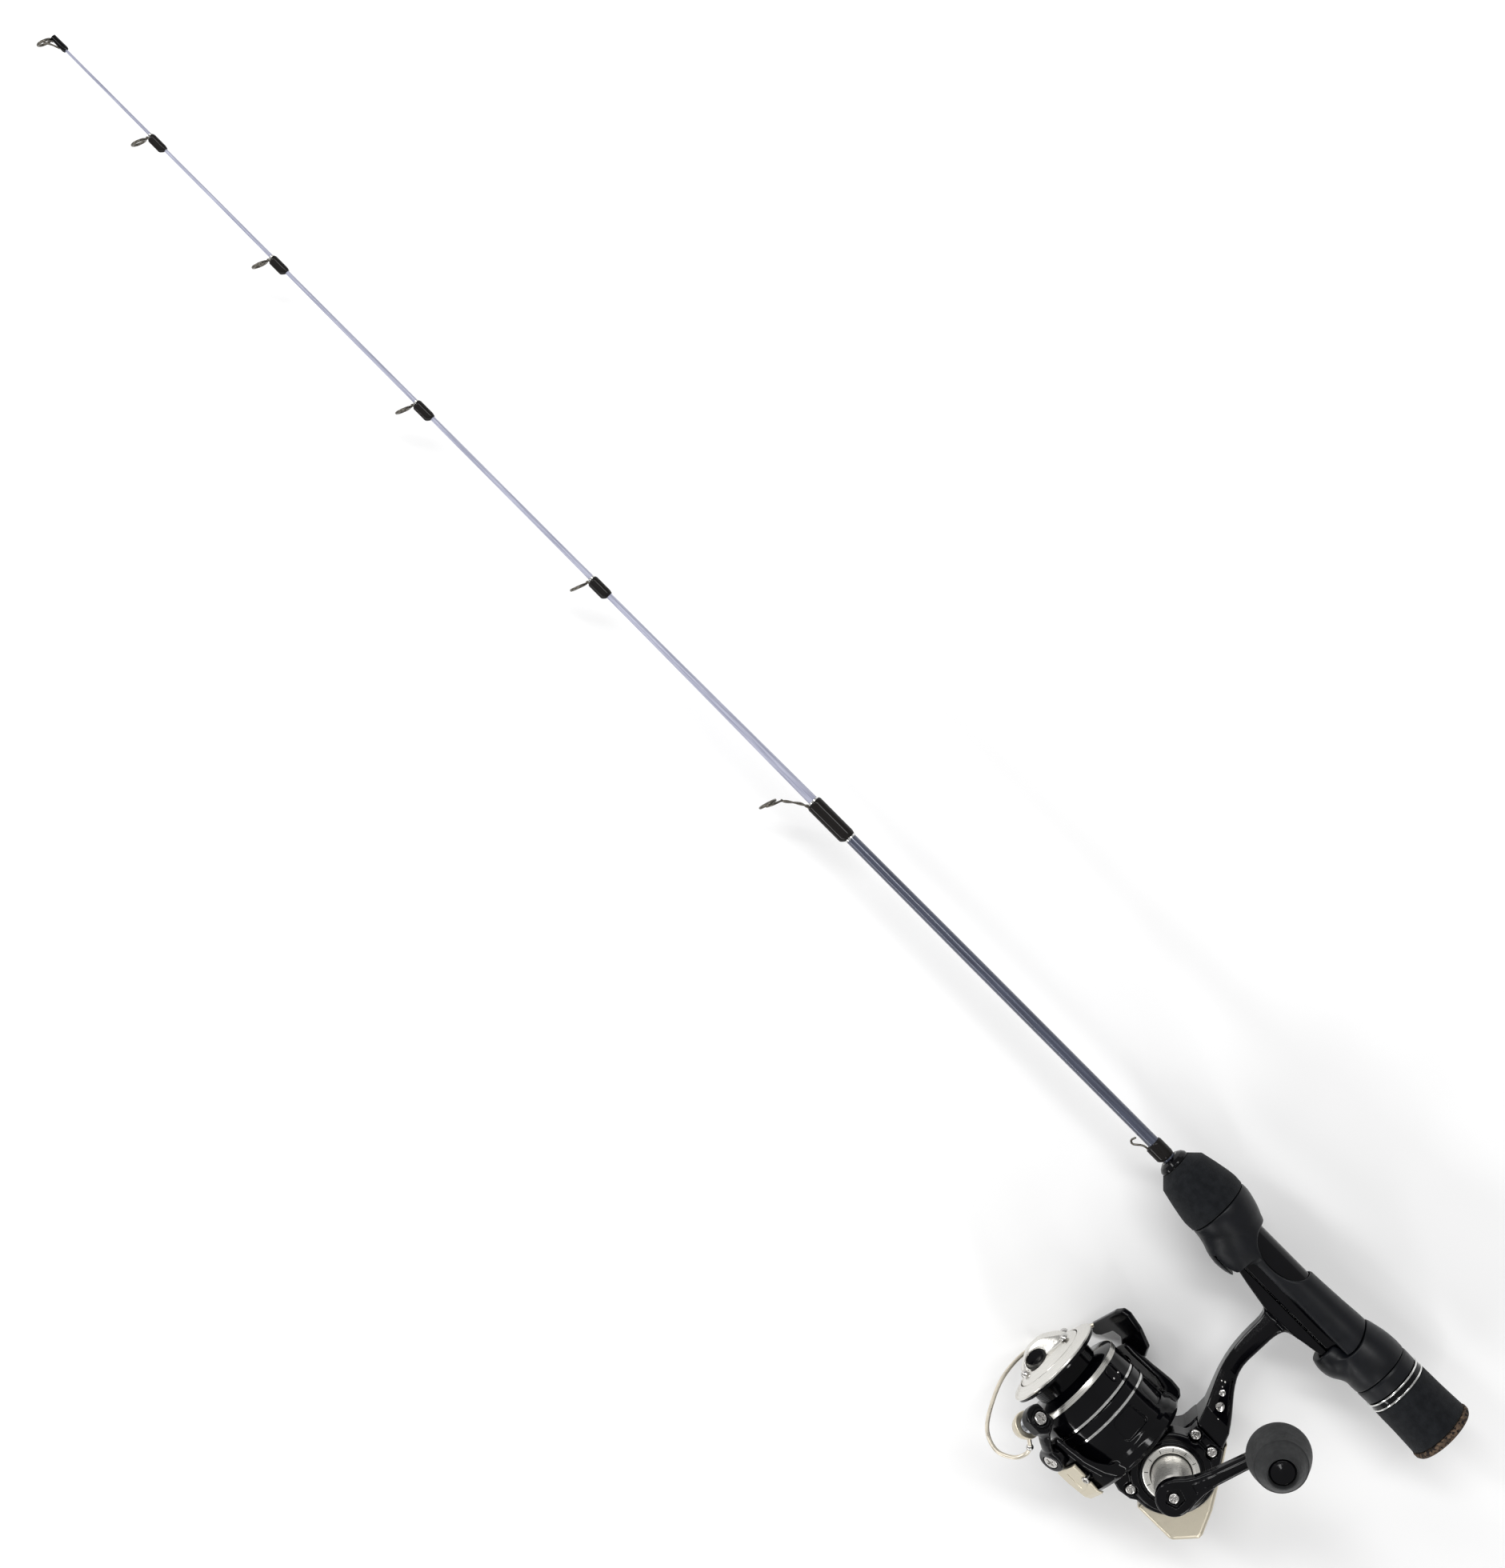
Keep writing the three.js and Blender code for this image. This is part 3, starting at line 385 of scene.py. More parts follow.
def ribbon(g, points, radii, flat=None):
    """A rounded bar along points. flat scales an axis so that the section is oval."""
    scale = np.array(flat or (1, 1, 1), float)
    nearest = np.full(g.shape, 1e9, np.float32)
    path = np.array(points, float) * scale
    x, y, z = g.x * scale[0], g.y * scale[1], g.z * scale[2]
    for a, b, ra, rb in zip(path, path[1:], radii, radii[1:]):
        e = b - a
        t = np.clip(((x - a[0]) * e[0] + (y - a[1]) * e[1] + (z - a[2]) * e[2]) / (e @ e), 0, 1)
        gap = np.sqrt((x - a[0] - t * e[0]) ** 2 + (y - a[1] - t * e[1]) ** 2 + (z - a[2] - t * e[2]) ** 2)
        nearest = np.minimum(nearest, gap - (ra + (rb - ra) * t))
    return nearest


def skin(g, field, passes=2):
    """The surface of a sampled solid: a vertex in each cell that the surface crosses, then smoothed."""
    field = np.broadcast_to(field, g.shape)
    counts = np.array(g.shape) - 1
    ids, points, quads = [], [], []
    for axis in range(3):
        u, v = (axis + 1) % 3, (axis + 2) % 3
        near = field.take(range(counts[axis]), axis)
        far = field.take(range(1, counts[axis] + 1), axis)
        at = np.argwhere((near < 0) != (far < 0))
        at = at[(at[:, u] > 0) & (at[:, v] > 0) & (at[:, u] < counts[u]) & (at[:, v] < counts[v])]
        a, b = near[tuple(at.T)], far[tuple(at.T)]
        crossing = at.astype(float)
        crossing[:, axis] += a / (a - b)
        corners = []
        for du, dv in ((0, 0), (-1, 0), (-1, -1), (0, -1)):
            cell = at.copy()
            cell[:, u] += du
            cell[:, v] += dv
            corners.append((cell[:, 0] * counts[1] + cell[:, 1]) * counts[2] + cell[:, 2])
        quad = np.stack(corners, 1)
        quads.append(np.where((a < 0)[:, None], quad, quad[:, ::-1]))
        ids.append(np.concatenate(corners))
        points.append(np.tile(crossing, (4, 1)))
    ids, points, quads = np.concatenate(ids), np.concatenate(points), np.concatenate(quads)
    cells, back = np.unique(ids, return_inverse=True)
    shared = np.bincount(back)
    v = np.stack([np.bincount(back, points[:, i]) / shared for i in range(3)], 1)
    faces = np.searchsorted(cells, quads)
    start = faces.ravel()
    end = np.roll(faces, -1, axis=1).ravel()
    links = np.bincount(np.concatenate([start, end]))
    for weight in (0.5, -0.52) * passes:
        mean = np.stack([np.bincount(np.concatenate([start, end]), np.concatenate([v[end, i], v[start, i]]))
                         / links for i in range(3)], 1)
        v = v + (mean - v) * weight
    return (g.low + v * g.step, faces)


# ---- from shapes to pieces ----


def to_mesh(name, shape, sharp=38):
    vertices, faces = shape
    mesh = bpy.data.meshes.new(name)
    scaled = np.array(vertices, float) * MM
    if isinstance(faces, np.ndarray):
        mesh.vertices.add(len(scaled))
        mesh.vertices.foreach_set("co", scaled.astype(np.float32).ravel())
        mesh.loops.add(faces.size)
        mesh.loops.foreach_set("vertex_index", faces.ravel().astype(np.int32))
        mesh.polygons.add(len(faces))
        mesh.polygons.foreach_set("loop_start", np.arange(len(faces), dtype=np.int32) * 4)
        mesh.update(calc_edges=True)
        mesh.validate()
    else:
        mesh.from_pydata([tuple(v) for v in scaled], [], [list(map(int, f)) for f in faces])
    mesh.shade_smooth()
    if sharp and not isinstance(faces, np.ndarray):
        mesh.set_sharp_from_angle(angle=math.radians(sharp))
    return mesh


def piece(name, shape, look, node, at=ROD, hides=True, sharp=38):
    """A piece that rides with a CAD node's body and, unless hides is False, stands for that node."""
    finish = MAT[look]
    spun = (np.array(shape[0], float) @ np.array(at.to_3x3()).T, shape[1])
    made = bpy.data.objects.new(name, to_mesh(name, spun, sharp))
    bpy.context.scene.collection.objects.link(made)
    made.data.materials.append(finish)
    made.location = at.translation
    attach(made, BODY[node])
    if hides:
        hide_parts(node)


def detail(name, shape, look, node, at=ROD):
    """A piece that adds to a node which another piece stands for."""
    piece(name, shape, look, node, at, hides=False)


# ---- materials ----


FIBRE = (0.02, 1, 1)  # noise drawn out along the rod


def srgb(channels):
    """A colour given as display values from 0 to 255."""
    return (*[c / 255 / 12.92 if c < 11 else ((c / 255 + 0.055) / 1.055) ** 2.4 for c in channels], 1)


class Surface:
    """A Principled material, with procedural detail measured in mm in the piece's own frame."""

    def __init__(self, name, color, roughness, **sockets):
        self.material = bpy.data.materials.new(name)
        self.material["slot"] = name
        self.material.use_nodes = True
        self.tree = self.material.node_tree
        self.shader = self.tree.nodes["Principled BSDF"].inputs
        self.shader["Base Color"].default_value = srgb(color)
        self.shader["Roughness"].default_value = roughness
        for socket, value in sockets.items():
            self.shader[socket.replace("_", " ")].default_value = value
        where = self.node("TexCoord", "Object")
        self.mm = self.node("VectorMath", 0, {0: where, "Scale": 1 / MM}, operation="SCALE")

    def node(self, kind, output, inputs=None, **settings):
        """Adds a node and gives one of its outputs. An input is a value or another node's output."""
        made = self.tree.nodes.new("ShaderNode" + kind)
        for key, value in settings.items():
            setattr(made, key, value)
        for key, value in (inputs or {}).items():
            if isinstance(value, bpy.types.NodeSocket):
                self.tree.links.new(value, made.inputs[key])
            else:
                made.inputs[key].default_value = value
        return made.outputs[output]

    def feed(self, socket, value):
        self.tree.links.new(value, self.shader[socket])
        return self

    def stretched(self, stretch):
        return self.node("VectorMath", 0, {0: self.mm, 1: stretch}, operation="MULTIPLY")

    def noise(self, size, detail=3, stretch=(1, 1, 1)):
        """Cloudy noise whose blotches are about size mm."""
        inputs = {"Scale": 1 / size, "Detail": detail, "Vector": self.stretched(stretch)}
        return self.node("TexNoise", "Fac", inputs)

    def cells(self, size, output="Distance"):
        return self.node("TexVoronoi", output, {"Scale": 1 / size, "Vector": self.mm})

    def ridges(self, pitch):
        """Fine parallel ridges along X."""
        return self.node("TexWave", "Fac", {"Scale": 0.314 / pitch, "Distortion": 0, "Vector": self.mm})

    def lathe_marks(self, pitch, axis):
        """Noise that only changes with distance from an axis and along it, as a turned face has."""
        mask, along = ((0, 1, 1), "X") if axis == "x" else ((1, 1, 0), "Z")
        distance = self.node("VectorMath", "Value", {0: self.stretched(mask)}, operation="LENGTH")
        height = self.node("SeparateXYZ", along, {0: self.mm})
        where = self.node("Math", 0, {0: distance, 1: height}, operation="ADD")
        inputs = {"Scale": 1 / pitch, "Detail": 3, "W": where}
        return self.node("TexNoise", "Fac", inputs, noise_dimensions="1D")

    def steps(self, value, *limits):
        """Maps value from the first two limits to the last two."""
        inputs = dict(zip(("From Min", "From Max", "To Min", "To Max"), limits))
        return self.node("MapRange", "Result", {"Value": value, **inputs})

    def tint(self, value, low_color, high_color, low=0.35, high=0.65):
        """Colours the surface between two colours as value goes from low to high."""
        inputs = {0: self.steps(value, low, high, 0, 1), 6: srgb(low_color), 7: srgb(high_color)}
        return self.feed("Base Color", self.node("Mix", 2, inputs, data_type="RGBA"))

    def rough(self, value, smooth, rough, low=0.3, high=0.7):
        return self.feed("Roughness", self.steps(value, low, high, smooth, rough))

    def bump(self, value, depth, strength=1.0):
        """Relief of about depth mm, on top of any relief that is there."""
        inputs = {"Strength": strength, "Distance": depth * MM, "Height": value}
        for last in self.shader["Normal"].links:
            inputs["Normal"] = last.from_socket
        return self.feed("Normal", self.node("Bump", "Normal", inputs))


def tip_glass():
    s = Surface("tip_glass", (170, 173, 190), 0.34, Specular_IOR_Level=0.3, Coat_Weight=0.4,
                Coat_Roughness=0.1)
    fibres = s.noise(0.35, 4, FIBRE)
    return s.tint(fibres, (140, 142, 162), (182, 184, 202)).rough(fibres, 0.25, 0.4).bump(fibres, 0.01)


def slate_blank():
    s = Surface("slate_blank", (70, 76, 92), 0.32, Metallic=0.3, Coat_Weight=0.6, Coat_Roughness=0.08)
    fibres = s.noise(0.3, 4, FIBRE)
    return s.tint(fibres, (54, 58, 74), (74, 80, 98)).rough(s.noise(0.6, 2), 0.26, 0.4).bump(fibres, 0.01)


def thread():
    s = Surface("thread", (14, 11, 10), 0.5, Specular_IOR_Level=0.1, Coat_Weight=0.25, Coat_Roughness=0.05)
    strands = s.ridges(0.24)
    s.tint(strands, (6, 5, 4), (24, 20, 18), 0.2, 0.8)
    return s.bump(strands, 0.03).bump(s.noise(1.6, 2), 0.02)


def guide_wire():
    s = Surface("guide_wire", (96, 92, 86), 0.28, Metallic=1)
    drawn = s.noise(0.25)
    return s.tint(drawn, (70, 67, 62), (120, 116, 108)).rough(drawn, 0.2, 0.4).bump(drawn, 0.008)


def foam():
    s = Surface("foam", (27, 29, 31), 0.95, Specular_IOR_Level=0.12, Sheen_Weight=0.05, Sheen_Roughness=0.6)
    s.tint(s.noise(2.6, 4), (16, 18, 21), (26, 28, 31))
    return s.bump(s.cells(0.42), 0.12, 0.7).bump(s.noise(0.5, 4), 0.08, 0.6)


def soft_touch():
    s = Surface("soft_touch", (10, 12, 16), 0.4, Specular_IOR_Level=0.24)
    s.tint(s.noise(7), (8, 10, 14), (12, 14, 19))
    return s.rough(s.noise(3), 0.36, 0.46).bump(s.noise(0.12), 0.015, 0.5)


def gloss_black():
    s = Surface("gloss_black", (4, 4, 6), 0.1, Specular_IOR_Level=0.22)
    s.tint(s.noise(9, 2), (3, 3, 5), (6, 6, 9))
    return s.rough(s.noise(0.5, 5), 0.08, 0.18, 0.45, 0.75).bump(s.noise(2.4, 2), 0.003)


def champagne():
    s = Surface("champagne", (202, 194, 174), 0.34, Metallic=0.95, Coat_Weight=0.2, Coat_Roughness=0.15)
    flakes = s.cells(0.16)
    s.tint(flakes, (196, 188, 168), (208, 200, 181), 0.1, 0.6)
    return s.rough(s.noise(1.4, 4), 0.3, 0.4).bump(flakes, 0.001)


def brushed_silver(axis, metallic=1):
    """Turned silver, with lathe marks round X or Z."""
    s = Surface("brushed_silver", (206, 204, 197), 0.26, Metallic=metallic)
    marks = s.lathe_marks(0.22, axis)
    return s.tint(marks, (206, 204, 198), (232, 230, 225)).rough(marks, 0.2, 0.34).bump(marks, 0.006)


def metal(name, color, roughness, scratch=0.3, worn=0.86, relief=0.004):
    """Polished or plated metal with fine handling marks."""
    s = Surface(name, color, roughness, Metallic=1)
    marks = s.noise(scratch, 5, stretch=(1, 0.25, 1))
    s.tint(marks, [c * worn for c in color], [min(255, c * 1.05) for c in color])
    return s.rough(marks, roughness * 0.7, roughness * 1.7).bump(marks, relief)


def knob_rubber():
    s = Surface("knob_rubber", (31, 33, 33), 0.6, Specular_IOR_Level=0.3, Sheen_Weight=0.05)
    s.tint(s.noise(4), (26, 27, 28), (36, 37, 38))
    return s.rough(s.noise(1.5), 0.55, 0.7).bump(s.noise(0.14), 0.03, 0.7)


def felt():
    s = Surface("felt", (107, 99, 87), 0.95, Sheen_Weight=0.5)
    hairs = s.noise(0.25, 6, stretch=(1, 0.3, 1))
    return s.tint(hairs, (84, 77, 66), (130, 121, 108)).bump(hairs, 0.15)


def rubber_cork():
    s = Surface("rubber_cork", (60, 48, 42), 0.88, Specular_IOR_Level=0.2)
    chips = s.node("SeparateXYZ", 0, {0: s.cells(0.8, "Color")})
    s.tint(chips, (30, 26, 25), (104, 86, 70), 0.3, 1.0)
    return s.bump(s.cells(0.8), 0.12, 0.6).bump(s.noise(0.3, 4), 0.08, 0.6)


MAT = {made.material["slot"]: made.material for made in (
    tip_glass(), slate_blank(), thread(), guide_wire(), foam(), soft_touch(), gloss_black(), champagne(),
    brushed_silver("x"),
    metal("bright_trim", (232, 232, 230), 0.12),
    metal("screw_chrome", (205, 203, 200), 0.16, 0.2),
    metal("bail_metal", (222, 214, 198), 0.3, 4, 0.94, 0.001),
    metal("steel", (150, 152, 156), 0.3, 0.5),
    metal("brass", (188, 150, 84), 0.3, 0.5),
    knob_rubber(), felt(), rubber_cork(),
)}
MAT["upright_silver"] = brushed_silver("z", 0.75).material


# ---- blanks and guides ----


def blank_radius(station):
    taper = TIP_TAPER + BUTT_TAPER
    return float(np.interp(station, [s for s, _ in taper], [r for _, r in taper]))


def blanks():
    tip = [(1.2, 0), *TIP_TAPER, (395.9, 1.8), (395.9, 1.15), (FERRULE + 24, 1.15), (FERRULE + 24, 0)]
    piece("tip_section", spin(tip, sides=40), "tip_glass", "tip_blank")
    ring = [*BUTT_TAPER, (688, 1.45), (FERRULE, 1.45)]
    piece("butt_section", sleeve(ring, sides=40), "slate_blank", "butt_blank")


def hoop(x, y, radius, lean):
    """A ring of round wire whose plane leans forward."""
    thick = WIRE * 1.15
    circle = [(thick * math.cos(a), radius - thick + thick * math.sin(a))
              for a in np.linspace(0, 2 * math.pi, 14, endpoint=False)]
    return moved(turned(sleeve(circle, sides=48), "Z", -lean), x, y)


def foot_depth(station, length):
    return -(blank_radius(station + length / 2) + GAP + WIRE)


def guide_shape(station, wrap, ring, drop, lean):
    foot = foot_depth(station, wrap)
    front = station - wrap / 2
    tall = drop > 8
    centre = (front - (11.2 if tall else 1.6), -drop)
    tilt = math.radians(lean)
    top = (centre[0] + ring * math.sin(tilt), centre[1] + ring * math.cos(tilt))
    stem = [(station + wrap * 0.35, foot, 0), (front + 0.4, foot, 0), (front - 0.6, foot - 0.15, 0)]
    if not tall:
        return together(hoop(*centre, ring, lean), wire([*stem, (top[0], top[1] - 0.2, 0)], WIRE))
    stem += [(front - 3.5, foot - 1.6, 0), (front - 7.5, foot - 4.6, 0), (top[0] + 1.3, top[1] + 0.8, 0)]
    strands = []
    for phase in (0, math.pi):
        strands.append(wire(stem, WIRE * 0.72, steps=12, twist=phase))
    for side in (-1, 1):
        leg = [(top[0] + 1.6, top[1] + 1.0, side * 0.3), (top[0] + 0.6, top[1] - 1.6, side * 2.6),
               (centre[0] + 0.4, centre[1] - 0.6, side * (ring - WIRE))]
        strands.append(wire(leg, WIRE * 0.72))
    return together(hoop(*centre, ring, lean), *strands)


def wrap_shape(station, wrap):
    """Lacquered thread round the blank, swollen over the guide foot on the reel side."""
    start, end = station - wrap / 2, station + wrap / 2
    bore = blank_radius(end) + 0.03
    rest = bore + 0.25
    bulge = WIRE + 0.12 - foot_depth(station, wrap) - rest

    def swell(along, angle):
        share = max(0, min(1, (along - start) / 0.9, (end - along) / 1.6))
        away = (angle - math.pi) / 0.75
        return math.sin(share * math.pi / 2) * (0.3 + bulge * math.exp(-away * away))

    lacquer = [(s, rest) for s in np.linspace(start, end, 49)]
    return sleeve([(start, bore), *lacquer, (end, bore)], sides=48, swell=swell)


def guides():
    for i, spec in enumerate(GUIDES):
        number = i + 2
        piece(f"guide_{number}_wire", guide_shape(**spec), "guide_wire", f"guide_{number}")
        station, wrap = spec["station"], spec["wrap"]
        piece(f"guide_{number}_thread", wrap_shape(station, wrap), "thread", f"guide_wrap_{number}")
        trims = [station - wrap / 2 - 0.75, station + wrap / 2 + 0.05]
        for side, at in zip(("front", "rear"), trims if wrap > 10 else trims[:1]):
            r = blank_radius(at)
            band = tube(at, at + 0.7, r + 0.02, r + 0.24, sides=40, edge=0.1)
            detail(f"guide_{number}_{side}_trim", band, "bright_trim", f"guide_wrap_{number}")


def tip_top():
    ring, lean = 3.0, 20
    centre = (-0.9, -3.6)
    shell = sleeve([(0, 0.85), (0, 1.15), (6.3, 1.25), (7, 1.05), (7, 0.85)], sides=40, edge=0.2)
    piece("tip_top_tube", shell, "gloss_black", "tip_top")
    nose = wire([(1.2, -1.2, 0), (0.2, -1.4, 0), (centre[0] + 0.9, centre[1] + 2.4, 0)], WIRE * 0.8)
    legs = [wire([(4.5, -1.25, side * 0.5), (1.8, -2.2, side * 1.5),
                  (centre[0] + 0.1, centre[1], side * (ring - 0.5))], WIRE * 0.7) for side in (-1, 1)]
    shape = together(hoop(*centre, ring, lean), nose, *legs)
    detail("tip_top_ring", shape, "guide_wire", "tip_top")


def hook_keeper():
    station, wrap = KEEPER["station"], KEEPER["wrap"]
    foot = foot_depth(station, wrap)
    start = station - wrap / 2
    loop = [(station + wrap * 0.35, foot, 0), (start + 0.4, foot, 0), (start - 2, foot - 0.6, 0),
            (start - 4.6, foot - 2.6, 0), (start - 6, foot - 2, 0), (start - 5.6, foot - 0.3, 0)]
    piece("hook_keeper_wire", wire(loop, WIRE * 0.9), "guide_wire", "hook_keeper")
    piece("hook_keeper_thread", wrap_shape(station, wrap), "thread", "keeper_wrap")


# ---- handle ----


def grips():
    check = [(570.3, TUBE_BORE), (570.3, 3.6), (571.2, 5.1), (572.3, 5.9), (573.3, 6), (573.3, TUBE_BORE)]
    piece("winding_check_ring", sleeve(check, edge=0.25), "gloss_black", "winding_check")
    belly = smooth_line([(577.3, 9.8), (584, 11.3), (590.5, 12.4), (594.6, 12.3)], 6)
    fore = [(573.6, TUBE_BORE), (573.6, 6.2), *belly, (594.9, 11.9), (594.9, TUBE_BORE)]
    piece("fore_grip_foam", sleeve(fore, sides=96, edge=0.4), "foam", "fore_grip")
    flare = smooth_line([(687.9, 11.8), (692, 11.9), (698, 12), (707.3, 12.4)], 4)
    rear = [(687.5, SHELF), (687.5, 11.5), *flare, (707.6, 12.2), (707.6, SHELF)]
    piece("rear_grip_foam", sleeve(rear, sides=96, edge=0.3), "foam", "rear_grip")
    cap = [(707.9, 0), (707.9, 12.5), (708.3, 12.8), (709.6, 12.8), (710.6, 12.2), (711, 11), (711, 0)]
    piece("butt_cap_disc", spin(rounded(cap, 0.4), sides=96), "rubber_cork", "butt_cap")
    collar = [(684.5, SHELF), (684.5, 11.62), (686.4, 11.62), (686.4, SHELF)]
    piece("trim_collar_band", sleeve(collar, sides=96, edge=0.1), "gloss_black", "trim_collar")
    for name, at in (("front", 683.8), ("rear", 686.45)):
        ring = tube(at, at + 0.68, SHELF, 11.95, sides=96, edge=0.2)
        detail(f"trim_collar_{name}_ring", ring, "bright_trim", "trim_collar")
    nut = [(677.9, SHELF), (677.9, 11.4), (678.9, 11.62), (683.5, 11.5), (683.5, SHELF)]
    piece("lock_nut_sleeve", sleeve(nut, sides=96, edge=0.35), "soft_touch", "lock_nut")


def seat_tube():
    g = Grid((600.2, -8.2, -6.8), (690, 6.8, 6.8), 0.4)
    core = column(g, [(600.2, TUBE_RADIUS), (640, TUBE_RADIUS), (690, TUBE_RADIUS)], 0.3)
    cradle = brick(g, (606.5, GAP - 8.2, -5.2), (660, 0, 5.2), 0.5)
    field = carved(merged(core, cradle, 0.6), shaft(g.y, g.z, TUBE_BORE))
    piece("seat_core", skin(g, field), "gloss_black", "seat_tube")


def hood_edge(g):
    """How far the rear hood's front edge is curved backwards, by height."""
    return HOOD_START + 2.7 * np.clip(1 - ((g.y + 1.2) / 9.6) ** 2, -1, 1)


def seat_body():
    g = Grid((595.2, -15.2, -12.6), (666, 12.6, 12.6), 0.22)
    outer = column(g, [(595.2, 12), (596.2, 12.25), (599, 12.05), (604, 10.8), (608, 9.2), (612, 7.9),
                       (618, 7.4), (634, 7.5), (650, 8.3), (658, 8.9), (666, 9.15)], 0.3)
    outer = both(outer, g.x - (hood_edge(g) - GAP), 0.2)
    hood = both(ball(g, (609.5, -5, 0), (13.8, 10, 9.3)), both(between(g.x, 590, 616.4), g.y), 0.6)
    solid = merged(outer, hood, 2.5)
    bore = both(shaft(g.y, g.z, SEAT_BORE), 600 - g.x)
    window = ball(g, (622.5, 7, 0), (12.5, 8.2, 30))
    foot_room = brick(g, (606.2, -12.9, -5.9), (700, 0, 5.9), 0.3)
    under = [(619, -40), (619, -12), (623, -9), (630, -5.2), (638, -3.6), (670, -3.6), (670, -40)]
    field = carved(carved(solid, window, 0.8), prism(g, under, -20, 20), 0.7)
    field = carved(carved(carved(field, bore, 0.15), shaft(g.y, g.z, TUBE_BORE)), foot_room, 0.3)
    piece("seat_shell", skin(g, field), "soft_touch", "seat_body")


def rear_hood():
    g = Grid((657.5, -15.6, -11.9), (677.6, 11.9, 11.9), 0.25)
    outer = column(g, [(650, 8.8), (660, 9.2), (664, 10.1), (669, 11.2), (674, 11.7), (677.6, 11.6)], 0.35)
    outer = both(outer, hood_edge(g) - g.x, 0.45)
    lobe = ball(g, (663, -8.6, 0), (9.2, 6.8, 8.6))
    lobe = both(lobe, both(658.6 - g.x, g.y + 2), 0.5)
    bore = shaft(g.y, g.z, SEAT_BORE)
    pocket = brick(g, (650, -11.6, -5.9), (666.8, 0, 5.9), 0.3)
    field = carved(carved(merged(outer, lobe, 2.2), bore, 0.2), pocket, 0.3)
    piece("rear_hood_shell", skin(g, field), "soft_touch", "rear_hood")


# ---- reel case ----


def case_outline(grow=0.0):
    front = CASE_FRONT - grow
    outline = [(645 - grow, COVER_LINE + grow), (645.3 - grow, -62.5)]
    outline += [(644.6 - grow, -65.4), (643.6 - grow, -67), (642.2 - grow, -68), (front, -70.5)]
    outline += [(front, -96 - grow), (643, -97 - grow), (648, -96.2 - grow)]
    outline += arc(*CRANK_AT, 16.8 + grow, -1.6, 0.69)
    return [*outline, (657.8 + grow, COVER_LINE + grow)]


def stem_outline():
    front = bezier((629.5, -12.1), (633.4, -12.6), (634.7, -15), (634.8, -20), 8)
    front += bezier((634.8, -22), (635.2, -38), (639, -43), (643.6, -53.5))
    back = bezier((656.5, -54.4), (651, -45.5), (642.8, -41), (642.6, -31))
    back += bezier((642.6, -20), (642.8, -15), (644.2, -12.6), (648.5, -12.1), 8)
    return [*front, (645, COVER_LINE), (645, -64), (660, -64), (657.8, COVER_LINE), *back]


def depth_limit(g, front, back):
    """How far a point lies outside the stem's and case's depth, which grows towards the case."""
    levels = [(8, 4.2, -4.2), (38, 4.2, -4.2), (53, 7.4, -7), (59.3, front, -12), (61, front, back)]
    depth = np.array([level[0] for level in levels])
    high = np.interp(-g.y, depth, [level[1] for level in levels])
    low = np.interp(-g.y, depth, [level[2] for level in levels])
    slope = np.interp(-g.y, [36, 40, 56, 61], [1, 0.93, 0.86, 1])
    return both(g.z - high, low - g.z) * slope


def slider_room(g):
    """The slot in the case and its cover where the oscillation slider moves."""
    return brick(g, (643, -91.5, CASE_BACK + BACK_WALL), (650.5, -66.5, 8))


